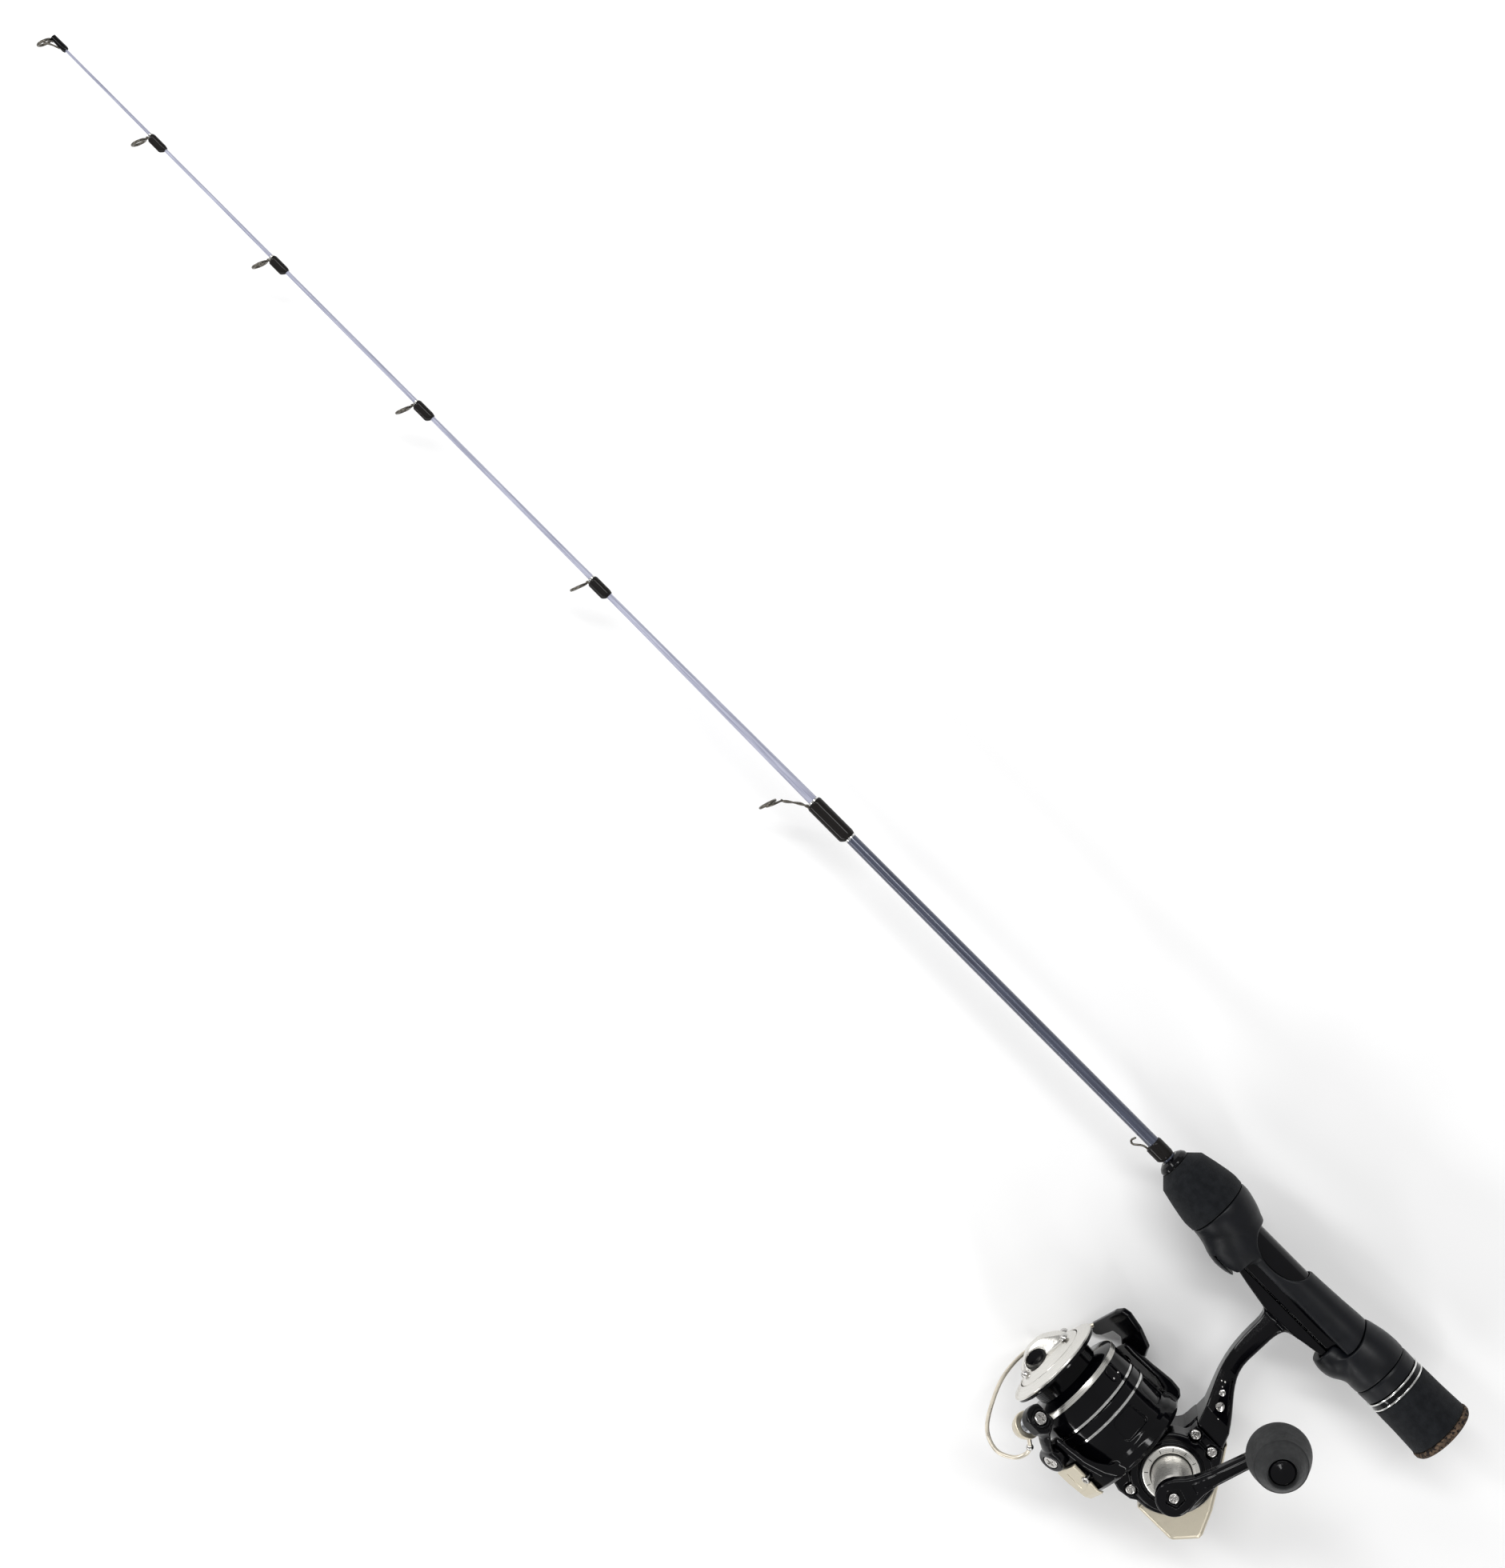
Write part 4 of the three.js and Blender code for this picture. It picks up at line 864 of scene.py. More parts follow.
def reel_body():
    g = Grid((612.3, -98, -14), (667.6, -8, 12), 0.25)
    case = both(outline_distance(g.x, g.y, case_outline()), between(g.z, CASE_BACK, 4), 1.4)
    neck = both(outline_distance(g.x, g.y, stem_outline()), depth_limit(g, 11.4, CASE_BACK), 1.5)
    neck = both(neck, (COVER_LINE - GAP) - g.y + np.where(g.z < 4, -ALWAYS, 0), 0.4)
    ridge_x = np.interp(-g.y, [12, 32, 40, 50, 59], [638.2, 638.8, 640.6, 645.2, 648.6])
    facet = (g.z - np.interp(-g.y, [12, 40, 53, 59], [4.2, 4.6, 7.6, 12.6])) * 0.86 + (ridge_x - g.x) * 0.42
    facet = np.where(g.y > COVER_LINE - 1, facet, -ALWAYS)
    neck = both(neck, facet, 0.3)
    body = merged(case, neck, 0.6)
    foot_outline = [(612.5, -8.2), (666.5, -8.2), (666.5, -9.6), (656, -11.2), (646, -12.8), (631, -13),
                    (622, -11.5), (612.5, -9.6)]
    foot = prism(g, foot_outline, -5.6, 5.6, 0.6)
    snout = both(shaft(g.y, g.z, 9.4, AXIS), between(g.x, 634.5, 641), 0.3)
    snout = both(snout, merged(g.z - 4, g.x - (CASE_FRONT - GAP)))
    body = merged(merged(body, foot, 2.2), snout, 0.4)
    groove = np.abs(outline_distance(g.x, g.y, stem_outline()) + 1.5) - 0.22
    groove = both(groove, both(g.y + 40, 645.5 + (g.y + 52) * -0.3 - g.x))
    body = carved(body, both(groove, 2 - g.z + np.interp(-g.y, [40, 59], [0, 9.0])), 0.15)
    room = both(shaft(g.x, g.y, GEAR_ROOM, CRANK_AT), CASE_BACK + BACK_WALL - g.z, 0.5)
    room = both(merged(room, slider_room(g)), outline_distance(g.x, g.y, case_outline()) + CASE_WALL)
    body = carved(body, both(room, g.z - LID_ROOM), 0.2)
    for bore, depth in ((8.3, 638.8), (6.8, 641.4), (4, 645)):
        body = carved(body, both(shaft(g.y, g.z, bore, AXIS), g.x - depth))
    seat = both(shaft(g.x, g.y, 5.3, CRANK_AT), between(g.z, CASE_BACK + 0.6, 0))
    body = carved(body, seat)
    for x, y in SCREW_SPOTS[:2]:
        hole = both(shaft(g.x, g.y, 1, (x, y)), -6 - g.z)
        hole = merged(hole, both(shaft(g.x, g.y, 2.5, (x, y)), 11 - g.z))
        body = carved(body, hole, 0.1)
    ring = both(np.abs(shaft(g.x, g.y, 8.6, CRANK_AT)) - 0.35, g.z - (CASE_BACK + 0.5))
    slot = brick(g, (CRANK_AT[0] - 5, CRANK_AT[1] - 0.8, -15), (CRANK_AT[0] + 5, CRANK_AT[1] + 0.8, -12.3))
    body = carved(carved(body, ring, 0.1), slot, 0.1)
    piece("reel_case", skin(g, body), "gloss_black", "reel_body")


def case_studs():
    """Bright oval and round studs let into the neck of the case."""
    studs = []
    dome, faces = spin([(-0.8, 0), (-0.8, 1), (0, 1), (0.28, 0.75), (0.42, 0.35), (0.45, 0)], "z", 32)
    for x, y, across, along in ((647.1, -50.5, 1.7, 2.6), (644.2, -46.1, 1.2, 1.6),
                                (642.1, -42.4, 0.45, 0.5), (640.9, -42.9, 0.4, 0.45),
                                (649.6, -53.4, 0.4, 0.45), (642.6, -44.2, 0.35, 0.4)):
        height = float(np.interp(-y, [38, 53], [4.2, 7.4]))
        oval = turned(turned((dome * (across, along, 1), faces), "Z", 12), "X", 11)
        studs.append(moved(oval, x, y, height - 0.12))
    detail("case_studs", together(*studs), "screw_chrome", "reel_body")


def side_cover():
    g = Grid((634.5, -97.5, 4), (668, -59, 15.2), 0.25)
    lid = both(outline_distance(g.x, g.y, case_outline()), between(g.z, COVER_LOW, COVER_TOP), 1.1)
    lid = both(lid, g.y - (COVER_LINE - 2 * GAP), 0.35)
    boss = both(shaft(g.x, g.y, BOSS_RADIUS, CRANK_AT), between(g.z, COVER_LOW + 1, BOSS_TOP), 0.8)
    boss = both(boss, CASE_FRONT - g.x, 0.3)
    solid = merged(lid, boss, 0.9)
    step = both(np.abs(shaft(g.x, g.y, 11.6, CRANK_AT)) - 0.3, 14.4 - g.z)
    solid = carved(solid, step, 0.15)
    room = both(shaft(g.x, g.y, GEAR_ROOM - 0.9, CRANK_AT), g.z - LID_ROOM)
    solid = carved(solid, merged(room, slider_room(g)), 0.2)
    solid = carved(solid, shaft(g.x, g.y, 3.2, CRANK_AT), 0.2)
    for spot in SCREW_SPOTS:
        hole = merged(shaft(g.x, g.y, 1, spot), both(shaft(g.x, g.y, 2.45, spot), COVER_TOP - 1 - g.z))
        solid = carved(solid, hole, 0.15)
    piece("side_cover_shell", skin(g, solid), "gloss_black", "side_cover")


def rear_guard():
    g = Grid((651, -98, -11.7), (677.2, -55, 9.2), 0.25)
    outline = [(657, -55.2), (666.2, -68.6), (672.5, -78.5), (676.6, -87.2), (676.8, -89.2), (670.6, -96.6),
               (669.2, -97.2), (653, -97.4), (652, -90)]
    plate = prism(g, rounded(outline, 0.8, closed=True), -11.5, 9, 1.6)
    inner = outline_distance(g.x, g.y, case_outline(0.4))
    inner = merged(inner, outline_distance(g.x, g.y, stem_outline()) - 0.3)
    inner = merged(inner, brick(g, (640, COVER_LINE - 2, -30), (658.4, -40, 30)))
    piece("rear_guard_shell", skin(g, carved(plate, inner, 0.3)), "champagne", "rear_guard")


def cross_screw(head, thick, shank, length, slot=0.36):
    """A pan-head screw with a cross recess, its head's top at height zero, facing +Z."""
    g = Grid((-head, -head, -length), (head, head, 0), 0.11 if head < 2.3 else 0.13)
    dome = both(shaft(g.x, g.y, head), between(g.z, -thick, 0), thick * 0.55)
    stem = both(shaft(g.x, g.y, shank), between(g.z, -length, -thick + 0.1))
    arms = merged(both(np.abs(g.x) - slot, np.abs(g.y) - head * 0.62),
                  both(np.abs(g.y) - slot, np.abs(g.x) - head * 0.62))
    recess = both(arms, -thick * 0.75 - g.z)
    return skin(g, carved(merged(dome, stem), recess, 0.08), 1)


def case_screws():
    shape = cross_screw(2, 1.2, 0.7, 5)
    for i, (x, y) in enumerate(SCREW_SPOTS):
        spun = moved(turned(shape, "Z", 25 + 50 * i), x, y, COVER_TOP + 0.5)
        piece(f"cover_screw_{i + 1}_cross", spun, "screw_chrome", f"cover_screw_{i + 1}")


# ---- crank and knob ----

ARM_LENGTH = math.hypot(KNOB_AT[0] - CRANK_AT[0], KNOB_AT[1] - CRANK_AT[1])
ARM_TURN = math.degrees(math.atan2(KNOB_AT[1] - CRANK_AT[1], KNOB_AT[0] - CRANK_AT[0]))


def dial():
    ring = sleeve([(BOSS_TOP + GAP, 7.7), (BOSS_TOP + GAP, 10.3), (BOSS_TOP + 1, 10.3), (BOSS_TOP + 1.3, 9.9),
                   (BOSS_TOP + 1.3, 7.9), (BOSS_TOP + 1.1, 7.7)], "z", 96)
    piece("dial_plate", ring, "upright_silver", "dial_ring", CRANK)
    ticks = []
    for i in range(12):
        tick = slab([(8.3, -0.13), (9.7, -0.13), (9.7, 0.13), (8.3, 0.13)], BOSS_TOP + 1.2, BOSS_TOP + 1.33)
        ticks.append(turned(tick, "Z", 30 * i + 12))
    detail("dial_ticks", together(*ticks), "gloss_black", "dial_ring", CRANK)


def crank_hub():
    top = ARM_Z - GAP
    profile = [(BOSS_TOP + GAP, BEARING_BORE), (BOSS_TOP + GAP, 7.2), (18, 7.3), (top - 1.5, 6.6), (top, 6.2),
               (top, SHAFT_BORE), (BOSS_TOP + 2.7, SHAFT_BORE), (BOSS_TOP + 2.7, BEARING_BORE)]
    piece("crank_hub_sleeve", sleeve(profile, "z", 96, edge=0.3), "upright_silver", "crank_hub", CRANK)


def crank_arm():
    g = Grid((-7, -7, ARM_Z - 0.2), (ARM_LENGTH + 3, 7, ARM_Z + 5.5), 0.22)
    along = [0, 3, 6.5, 10, 16, 26, ARM_LENGTH]
    half = np.interp(g.x, along, [6.6, 6.2, 4.6, 3.5, 2.8, 2.6, 2.5])
    lever = both(both(np.abs(g.y) - half, -g.x), g.x - ARM_LENGTH)
    plan = merged(shaft(g.x, g.y, 6.6), merged(lever, shaft(g.x, g.y, 2.5, (ARM_LENGTH, 0))))
    crown = np.interp(g.x, [-7, 7, 14, ARM_LENGTH], [5.2, 5.2, 4.7, 4.3])
    body = both(plan, both(ARM_Z - g.z, g.z - ARM_Z - crown), 0.9)
    angles = [math.radians(72 * i + 180) for i in range(5)]
    recess = prism(g, rounded([(3.7 * math.cos(a) + 0.4, 3.7 * math.sin(a)) for a in angles], 0.8, True),
                   ARM_Z + 3.4, ARM_Z + 9)
    channel = both(both(np.abs(g.y) - half * 0.42, between(g.x, 8, ARM_LENGTH - 5)),
                   ARM_Z + crown - 0.45 - g.z)
    body = carved(carved(body, recess, 0.35), channel, 0.3)
    body = carved(body, shaft(g.x, g.y, SHAFT_BORE))
    body = carved(body, shaft(g.x, g.y, 1.6, (ARM_LENGTH, 0)))
    piece("crank_lever", turned(skin(g, body), "Z", ARM_TURN), "gloss_black", "crank_arm", CRANK)
    shape = cross_screw(2, 1.1, 1.1, 6)
    piece("crank_lever_screw", moved(shape, 0, 0, ARM_Z + 4.5), "screw_chrome", "crank_arm_screw", CRANK)


def knob():
    z = KNOB_BASE
    side = smooth_line([(z, 5.4), (z + 1, 8.4), (z + 2.4, 10.3), (z + 4.8, 11.4), (z + 9, 11.2),
                        (z + 17.8, 9.5)], 8)
    cone = smooth_line([(z + 18.1, 9.1), (z + 20, 8.2), (z + 23.4, 6.7), (z + 25.2, 5.6)], 6)
    inside = [(z + 25.2, 5.2), (z + 24.6, 4.95), (z + 22.4, 4.9), (z + 22.4, 1.6), (z, 1.6)]
    piece("knob_grip", sleeve([*side, *cone, *inside], "z", 96), "knob_rubber", "knob", KNOB, sharp=30)
    cap = [(z + 22.9, 0), (z + 22.9, 4.6), (z + 23.9, 4.5), (z + 24.2, 4.1), (z + 24.1, 3), (z + 23.7, 1.4),
           (z + 23.6, 0)]
    piece("knob_end_cap", spin(rounded(cap, 0.2), "z", 64), "gloss_black", "knob_cap", KNOB)


# ---- spool and drag knob ----


def spool():
    bore = 2.2
    ribs = []
    for i in range(9):
        at = 597.7 + i * 0.6
        ribs += [(at, 13.42), (at + 0.2, 13.42), (at + 0.3, 13.2), (at + 0.5, 13.2)]
    outline = [(600.5, bore), (600.5, 11.8), (594.8, 11.8), (594.8, 14.4), (596.2, 14.4), (596.4, 18.6),
               (596.9, 18.7), (597.2, 18.2), (597.6, 13.6), *ribs, (603.3, 13.6), (604.4, 19.2),
               (605, SPOOL_RADIUS)]
    outline += [(615.7, SPOOL_RADIUS), (615.7, 18.9), (606.4, 18.9), (605.6, 12.6), (606.2, 5.5),
                (614, 5.5), (614, bore)]
    piece("spool_body", sleeve(outline, sides=128), "gloss_black", "spool", SPOOL, sharp=32)
    front = [(605, 19.6), (604.9, 20.15), (605.4, 20.28), (607, 20.28), (607.1, 20), (607.1, 19.6)]
    detail("spool_front_band", sleeve(front, sides=128), "brushed_silver", "spool", SPOOL)
    rear = sleeve([(614.7, 19.8), (614.7, 20.22), (615.6, 20.22), (615.75, 19.8)], sides=128)
    detail("spool_rear_band", rear, "bright_trim", "spool", SPOOL)
    lip = [(593.35, 14.3), (593.35, 14.6), (594.75, 18.6), (595.1, 19.05), (595.7, 19.1), (595.9, 18.6),
           (595.9, 14.8), (594.4, 14.8), (594.4, 14.3)]
    piece("spool_lip_ring", sleeve(lip, sides=128, edge=0.1), "brushed_silver", "spool_lip", SPOOL)
    rim = sleeve([(595.95, 16), (595.95, 18.75), (596.35, 18.75), (596.35, 16)], sides=128, edge=0.1)
    detail("spool_lip_backing", rim, "gloss_black", "spool", SPOOL)


def line_clip():
    """A small oval clip plate with two bright studs on the skirt."""
    g = Grid((-3.4, -2.9, 19.2), (3.4, 2.9, 21), 0.15)
    plan = np.hypot(np.clip(np.abs(g.x) - 1.2, 0, None), g.y / 1.15) - 2.1
    shell = between(np.hypot(g.y, g.z), SPOOL_RADIUS, SPOOL_RADIUS + 0.6)
    clip = both(plan, shell, 0.2)
    lean = 40 + ROTOR_DEGREES - 90
    detail("line_clip_plate", moved(turned(skin(g, clip), "X", lean), 610.2), "gloss_black", "spool", SPOOL)
    dome = spin([(20.5, 0), (20.5, 0.42), (20.85, 0.34), (21.0, 0.18), (21.05, 0)], "z", 24)
    dots = [moved(turned(dome, "X", lean + side * 4.4), 611.6) for side in (-1, 1)]
    detail("line_clip_studs", together(*dots), "screw_chrome", "spool", SPOOL)


def drag_knob():
    """A dished disc with a pinched wing across it and a finger hollow on each side of the wing."""
    g = Grid((583.9, -13.7, -13.7), (598.6, 13.7, 13.7), 0.22)
    disc = [(598.4, -5), (598.4, 11.2), (594.5, 11.2), (594.5, 13.7), (594, 13.95), (593.4, 13.9),
            (592.4, 12.4), (591.2, 9.4), (590.6, 7), (589.8, -5)]
    disc = turning(g, rounded(disc, 0.25, True))
    cone = ball(g, (591.6, 0, 0), (7, 11, 6.4))
    ridge = both(np.abs(g.z) - np.interp(g.x, [584, 586, 589, 593], [1.8, 3.0, 4.4, 7.2]),
                 np.abs(g.y) - np.interp(g.x, [584, 586.4, 589, 592], [2.2, 6.0, 10.0, 12.6]), 1.3)
    wing = both(both(cone, ridge, 0.9), g.x - 593)
    wing = both(wing, 584.6 - g.x, 0.8)
    solid = merged(disc, wing, 0.8)
    for side in (-1, 1):
        hollow = ball(g, (FINGER_X, FINGER_Y, side * FINGER_Z), (3.1, 4.7, 4.6))
        solid = carved(solid, hollow, 0.35)
    solid = carved(solid, both(shaft(g.y, g.z, 2.2), 588.2 - g.x))
    shape = turned(skin(g, solid), "X", ROTOR_DEGREES)
    piece("drag_knob_body", shape, "brushed_silver", "drag_knob", SPOOL)
    pads = []
    for side in (-1, 1):
        bowl = Grid((586, -7.6, -10), (592.4, 1.9, 10), 0.2)
        pad = ball(bowl, (FINGER_X, FINGER_Y, side * FINGER_Z), (3.02, 4.62, 4.52))
        v, faces = skin(bowl, both(pad, side * bowl.z - 2.6, 0.2))
        pads.append((v, faces.tolist()))
    detail("drag_knob_pads", turned(together(*pads), "X", ROTOR_DEGREES), "gloss_black", "drag_knob", SPOOL)
    dome = spin([(0, 0), (0, 1.75), (-0.9, 1.6), (-1.5, 1), (-1.75, 0)], sides=32)
    studs = together(*[moved(dome, 591.2, y, z) for y in (9.9, -9.7) for z in (3.4, -3.4)])
    detail("drag_knob_studs", turned(studs, "X", ROTOR_DEGREES), "screw_chrome", "drag_knob", SPOOL)


# ---- rotor and bail ----


def rotor():
    g = Grid((610.9, -27.6, -27.6), (638.6, 27.6, 27.6), 0.24)
    drum = [(616.1, 18.6), (631, 18.6), (631, 5.5), (622, 5.5), (622, 3.45), (633.6, 3.45), (633.6, 18.8),
            (638.2, 19.8), (638.2, 21.2), (636.8, 22), (634, 21.5), (632.4, 20.5), (629, 20.1), (621, 19.9),
            (616.1, 20.1)]
    drum = turning(g, rounded(drum, 0.25, True))
    radius = np.hypot(g.y, g.z)
    arm_line = [(637.6, 20.2), (637.4, 24.2), (635.8, 26), (632, 26.7), (613.2, 26.6), (611.5, 25.6),
                (611.6, 24), (616, 23.5), (622, 23.4), (627.4, 23.2), (631.2, 21.9), (633, 19.6)]
    flange = turning(g, rounded(arm_line, 0.8, True))
    rise = np.interp(g.x, [611, 617, 624, 632, 638], [5.8, 6.6, 8.0, 11.5, 14.5])
    for side in (-1, 1):
        wedge = both(np.abs(g.z + (0.8 if side < 0 else 0)) - rise, -side * g.y)
        drum = merged(drum, both(flange, wedge, 1.4), 1.0)
    cover_seat = brick(g, (622.1, -30, -6.2), (640, -26.6, 6.2))
    drum = carved(drum, cover_seat, 0.2)
    drum = carved(drum, both(radius - 18.6, g.x - 630.9) + np.where(radius < 5.7, ALWAYS, 0))
    for turn in ROTOR_WINDOWS:
        a = math.radians(turn)
        across = g.y * math.cos(a) - g.z * math.sin(a)
        front = g.y * math.sin(a) + g.z * math.cos(a)
        window = both(between(g.x, 621.8, 630.8), np.abs(across) - 5.8 + (630.8 - g.x) * 0.1, 2)
        window = both(window, both(19 - radius, -front))
        drum = carved(drum, both(window, radius - 21.6), 0.15)
    pivots = shaft(g.x, g.z, 1.7, PIVOT)
    drum = carved(drum, both(pivots, 20 - np.abs(g.y)), 0.2)
    piece("rotor_cup", skin(g, drum), "gloss_black", "rotor", SPOOL)
    band = sleeve([(619.9, 19.6), (619.9, 20.28), (620.8, 20.28), (620.95, 19.6)], sides=128)
    detail("rotor_band", band, "bright_trim", "rotor", SPOOL)


def rotor_arm_cover():
    g = Grid((622.2, -28.7, -6.1), (637.8, -25.2, 6.1), 0.2)
    outline = rounded([(622.4, -26.9), (635.4, -26.9), (637.4, -25.6), (637.5, -26.9), (635.4, -28.1),
                      (622.4, -28.5)], 0.3, True)
    across = np.abs(g.z) - np.interp(g.x, [622, 628, 637.6], [5.9, 5.9, 4.4])
    solid = both(outline_distance(g.x, g.y, outline), across, 0.7)
    groove = both(np.abs(g.z + 1.2) - 0.3, both(between(g.x, 624.5, 632), g.y + 28.0))
    line = both(np.abs(shaft(g.x, g.z, 9.5, (623.5, -2))) - 0.12, both(g.y + 28.0, 630 - g.x))
    seat = shaft(g.x, g.z, 1.6, (629.5, 4.6))
    solid = carved(carved(carved(solid, groove, 0.1), line, 0.05), seat, 0.1)
    piece("rotor_arm_plate", skin(g, solid, 1), "champagne", "rotor_arm_cover", SPOOL)
    head = turned(cross_screw(1.5, 1.0, 0.6, 3), "X", 90)
    detail("rotor_plate_screw", moved(head, 629.5, -28.7, 4.6), "screw_chrome", "rotor", SPOOL)


def bail_arm_roller():
    g = Grid((594.6, -33.5, -5.6), (622, -26, 14.9), 0.2)
    boss = both(shaft(g.x, g.z, 5, PIVOT), between(g.y, -BAIL_RADIUS - 2.2, -BAIL_RADIUS + 1.3), 0.8)
    path = smooth_line([(BAIL_X, -BAIL_RADIUS, 0), (614, -29.3, 2), (610, -30.5, 6.2), (605.5, -30.3, 10.6),
                        (601.5, -29.2, 12.2)], 4)
    widths = np.interp(np.linspace(0, 1, len(path)), [0, 0.5, 1], [3.0, 2.3, 2.9])
    lever = ribbon(g, path, widths, flat=(1, 1.7, 1)) / 1.4
    end = both(shaft(g.x, g.y, 5.5, ROLLER_AT), between(g.z, 9.9, 14.4), 0.9)
    end = both(end, -33.6 - g.y)
    solid = merged(merged(boss, lever, 1.8), end, 1.8)
    room = both(shaft(g.x, g.y, ROLLER_RADIUS + GAP, ROLLER_AT), g.z - ROLLER_HIGH - GAP)
    ring = both(np.abs(shaft(g.x, g.y, 3.7, ROLLER_AT)) - 0.25, 14.0 - g.z)
    hole = both(shaft(g.x, g.y, 2.8, ROLLER_AT), 13.5 - g.z)
    seat = both(shaft(g.x, g.z, 3.0, PIVOT), g.y + BAIL_RADIUS + 1.3)
    for tool in (room, ring, hole, seat):
        solid = carved(solid, tool, 0.12)
    piece("bail_roller_arm", skin(g, solid), "gloss_black", "bail_arm_roller", SPOOL)
    head = cross_screw(2.5, 1.2, 1.1, 5)
    detail("bail_roller_screw", moved(head, *ROLLER_AT, 14.7), "screw_chrome", "bail_arm_roller", SPOOL)


def bail_arm_far():
    g = Grid((599.4, 26.8, -10.4), (621.8, 30.4, 15.4), 0.2)
    outline = rounded([(616.6, -5), (620.6, -3.4), (621.4, 2), (618.6, 8.2), (611, 12.8), (603.8, 15),
                       (601, 14), (600, 10), (600.2, -7.4), (602, -9.8), (604.6, -9.6), (605.8, -7),
                       (606.4, 0.6), (609.6, 1.4), (613, -3)], 1.2, True)
    thick = between(g.y, BAIL_RADIUS - 1, BAIL_RADIUS + 1.8)
    solid = both(outline_distance(g.x, g.z, outline), thick, 0.9)
    boss = both(shaft(g.x, g.z, 4, PIVOT), between(g.y, BAIL_RADIUS - 1, BAIL_RADIUS + 2.1), 0.5)
    solid = carved(merged(solid, boss, 0.5), both(shaft(g.x, g.z, 1.5, PIVOT), g.y - BAIL_RADIUS))
    piece("bail_far_arm", skin(g, solid), "gloss_black", "bail_arm_far", SPOOL)


def bail_wire():
    loop = [(603.6, -29.4, 1), (607.8, -30, -3), (609.3, -31.5, -6.4), (607.3, -34, -10.4),
            (601.4, -34.6, -14.4), (595, -28, -18.6), (591.4, -12, -24.6), (590.4, 0, -27),
            (591.4, 11, -25.6), (594.8, 19.6, -20.6), (598.6, 25, -14.4), (600.5, 27.4, -7.4),
            (601, 28.2, -6)]
    piece("bail_loop", wire(loop, 0.8, steps=10, sides=16), "bail_metal", "bail_wire", SPOOL)
    cone = spin(rounded([(-1.2, 0), (-1.2, 2), (0.6, 4.2), (3.6, 5.2), (5.1, 5.2), (5.1, 0)], 0.5), "z", 64)
    detail("bail_cone", moved(cone, *ROLLER_AT), "champagne", "bail_wire", SPOOL)
    angles = np.linspace(-1.571, 1.571, 15)
    socket = spin([(1.4 * math.sin(a), max(1.4 * math.cos(a), 0)) for a in angles], sides=32)
    detail("bail_wire_ball", moved(socket, 608.2, -30.2, -3.4), "screw_chrome", "bail_wire", SPOOL)


def roller_and_pivot():
    low, high, radius = ROLLER_LOW, ROLLER_HIGH, ROLLER_RADIUS
    shape = sleeve([(low, 1.5), (low, radius), (low + 0.4, radius), (7.0, radius - 1), (7.8, radius - 1),
                    (high - 0.4, radius), (high, radius), (high, 1.5)], "z", 64, edge=0.15)
    piece("line_roller_drum", moved(shape, *ROLLER_AT), "steel", "line_roller", SPOOL)
    head = turned(cross_screw(2.8, 1.1, 1.2, 5, 0.4), "X", 90)
    head = moved(head, BAIL_X, -BAIL_RADIUS - 2.5)
    piece("bail_pivot_cross", head, "screw_chrome", "bail_pivot_screw", SPOOL)


# ---- parts inside the reel ----


def gear_outline(teeth, radius, depth):
    """A toothed outline with rounded, tapered teeth."""
    outline = []
    step = 2 * math.pi / teeth
    for tooth in range(teeth):
        for turn, r in ((-0.38, radius - depth), (-0.25, radius - depth * 0.6), (-0.12, radius),
                        (0.12, radius), (0.25, radius - depth * 0.6), (0.38, radius - depth)):
            angle = (tooth + turn) * step
            outline.append((r * math.cos(angle), r * math.sin(angle)))
    return outline


def bearing(inner, outer, start, end, axis):
    """Two races and the shield between them."""
    step, shield = (outer - inner) / 3, 0.25
    return together(tube(start, end, inner, inner + step, axis), tube(start, end, outer - step, outer, axis),
                    tube(start + shield, end - shield, inner + step, outer - step, axis, edge=0.05))


def insides():
    piece("clutch_bearing", bearing(3.4, 8, 634.8, 638.5, "x"), "steel", "anti_reverse_clutch", SPOOL)
    piece("rotor_bearing", bearing(3.4, 6.5, 638.9, 641.1, "x"), "steel", "pinion_bearing", SPOOL)
    for side, start in (("upper", BOSS_TOP - 4), ("lower", CASE_BACK + 1)):
        race = bearing(BEARING_BORE, 5, start, start + 2.5, "z")
        piece(f"{side}_bearing", race, "steel", f"crank_bearing_{side}", CRANK)
    wheel = slab(gear_outline(31, 9, 0.8), -8, -4.2)
    axle = spin([(CASE_BACK + 1, 0), (CASE_BACK + 1, 2.4), (-9, 2.4), (-9, 4.4), (-3.4, 4.4), (-3.4, 2.4),
                 (BOSS_TOP + 2.4, 2.4), (BOSS_TOP + 2.4, 0)], "z", 48)
    piece("drive_wheel", together(wheel, axle), "brass", "drive_gear", CRANK)
    spindle = spin([(ARM_Z - 1.4, 0), (ARM_Z - 1.4, 2.2), (ARM_Z - 0.3, 2.2), (ARM_Z - 0.3, 1.25),
                    (KNOB_BASE + 20, 1.25), (KNOB_BASE + 20, 0)], "z", 32)
    piece("knob_axle", spindle, "steel", "knob_spindle", KNOB)
    main = spin(rounded([(588.5, 0), (588.5, 1.9), (662.2, 1.9), (662.2, 0)], 0.3), "x", 32)
    piece("spool_shaft", main, "steel", "main_shaft", SPOOL)
    washer = tube(598.8, 600.1, 2.5, 11.2, edge=0.2)
    piece("drag_felt", washer, "felt", "drag_washer", SPOOL)
    for node, look in (("oscillation_slider", "steel"), ("cam_gear", "brass"), ("pinion_gear", "brass"),
                       ("rotor_nut", "steel")):
        frame["nodes"][node].data.materials.clear()
        frame["nodes"][node].data.materials.append(MAT[look])


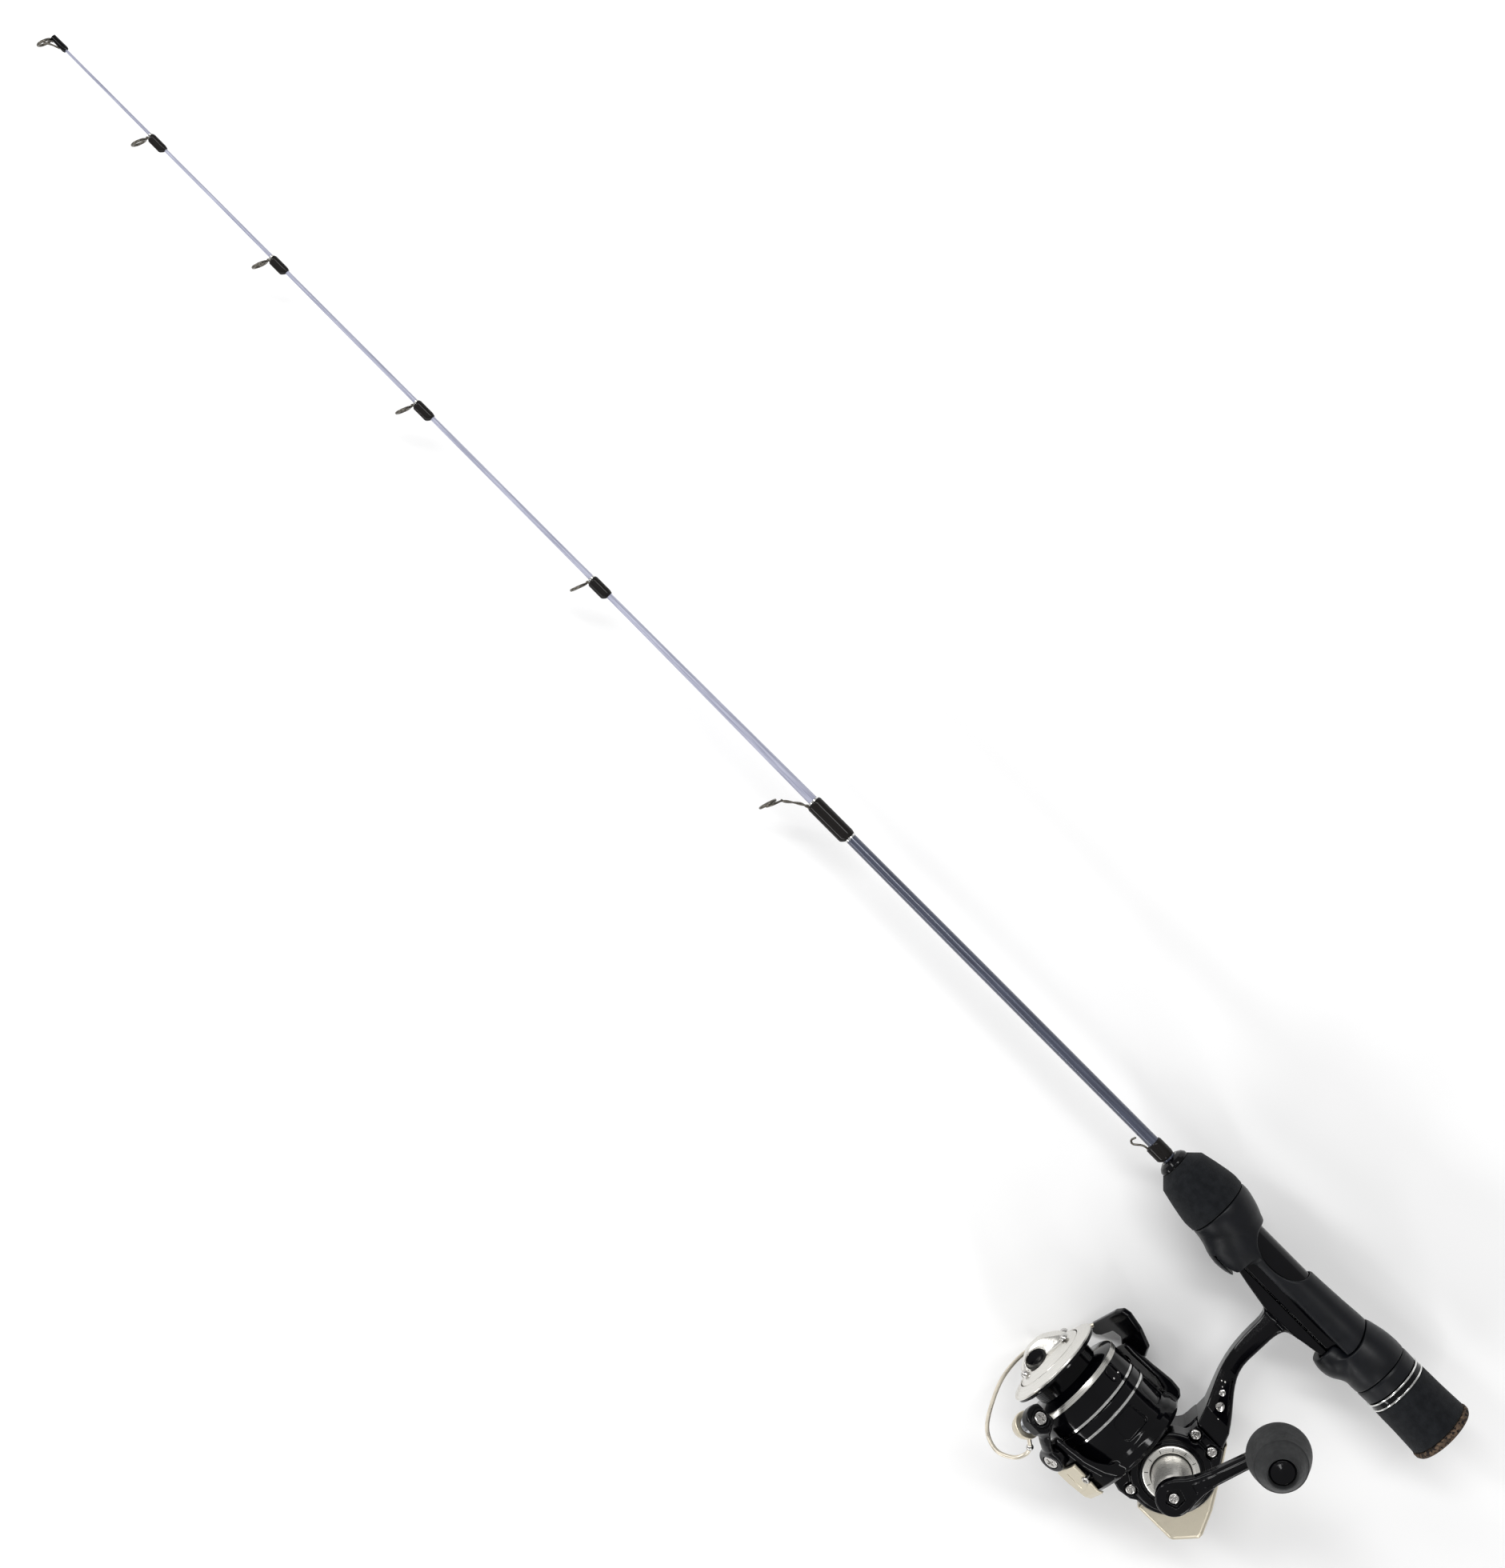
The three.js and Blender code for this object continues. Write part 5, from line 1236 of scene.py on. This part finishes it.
for build in (blanks, guides, tip_top, hook_keeper, grips, seat_tube, seat_body, rear_hood, reel_body,
              case_studs, side_cover, rear_guard, case_screws, dial, crank_hub, crank_arm, knob, spool,
              line_clip, drag_knob, rotor, rotor_arm_cover, bail_arm_roller, bail_arm_far, bail_wire,
              roller_and_pivot, insides):
    build()


# ---- floor, lights and camera ----


def floor():
    mesh = bpy.data.meshes.new("floor")
    half = 3.0
    mesh.from_pydata([(-half, -half, 0), (half, -half, 0), (half, half, 0), (-half, half, 0)], [],
                     [(0, 1, 2, 3)])
    made = bpy.data.objects.new("floor", mesh)
    made.location.z = cad_box[0].z - 0.0003
    bpy.context.scene.collection.objects.link(made)
    s = Surface("pale_floor", (247, 247, 247), 0.9, Specular_IOR_Level=0.1)
    s.tint(s.noise(60, 2), (245.81, 245.81, 245.81), (248.15, 248.15, 248.15))
    made.data.materials.append(s.material)


def area_light(name, location, target, size, power, color=(1, 1, 1)):
    data = bpy.data.lights.new(name, "AREA")
    data.shape, data.size, data.size_y = "RECTANGLE", size[0], size[1]
    data.energy, data.color = power, color
    made = bpy.data.objects.new(name, data)
    made.location = location
    made.rotation_mode = "QUATERNION"
    made.rotation_quaternion = (Vector(target) - Vector(location)).to_track_quat("-Z", "Y")
    bpy.context.scene.collection.objects.link(made)


def lights():
    middle = TIP + Vector((450, -40, 10)) * MM
    area_light("overhead", middle + Vector((-0.35, 0.6, 1.3)), middle, (1.2, 0.2), 10)
    area_light("left", middle + Vector((-1.3, -0.3, 0.8)), middle, (0.2, 1.3), 7)
    area_light("right", middle + Vector((1.2, -0.5, 0.9)), middle, (0.16, 1.2), 5)
    area_light("front", middle + Vector((0.1, -1.3, 0.7)), middle, (1.3, 0.16), 6)
    world = bpy.data.worlds.new("studio")
    world.use_nodes = True
    world.node_tree.nodes["Background"].inputs["Color"].default_value = (1, 1, 1, 1)
    world.node_tree.nodes["Background"].inputs["Strength"].default_value = 0.44
    bpy.context.scene.world = world


def camera():
    """A camera nearly above the rod, which runs along the picture's diagonal."""
    tilt, turn = math.radians(8.5), math.radians(45.13)
    back = Vector((0, math.sin(tilt), math.cos(tilt)))
    across = Vector((0, -math.cos(tilt), math.sin(tilt)))
    target = TIP + Vector((368.8, 0, 0)) * MM + across * 0.01125
    right = math.cos(turn) * Vector((1, 0, 0)) - math.sin(turn) * across
    down = math.sin(turn) * Vector((1, 0, 0)) + math.cos(turn) * across
    data = bpy.data.cameras.new("camera")
    data.sensor_width, data.lens = 36, 67.96
    data.clip_start, data.clip_end = 0.05, 20
    made = bpy.data.objects.new("camera", data)
    facing = Matrix((right, -down, back)).transposed().to_4x4()
    made.matrix_world = Matrix.Translation(target + back * 1.067) @ facing
    bpy.context.scene.collection.objects.link(made)
    bpy.context.scene.camera = made


floor()
lights()
camera()
bpy.context.scene.view_settings.view_transform = "Standard"
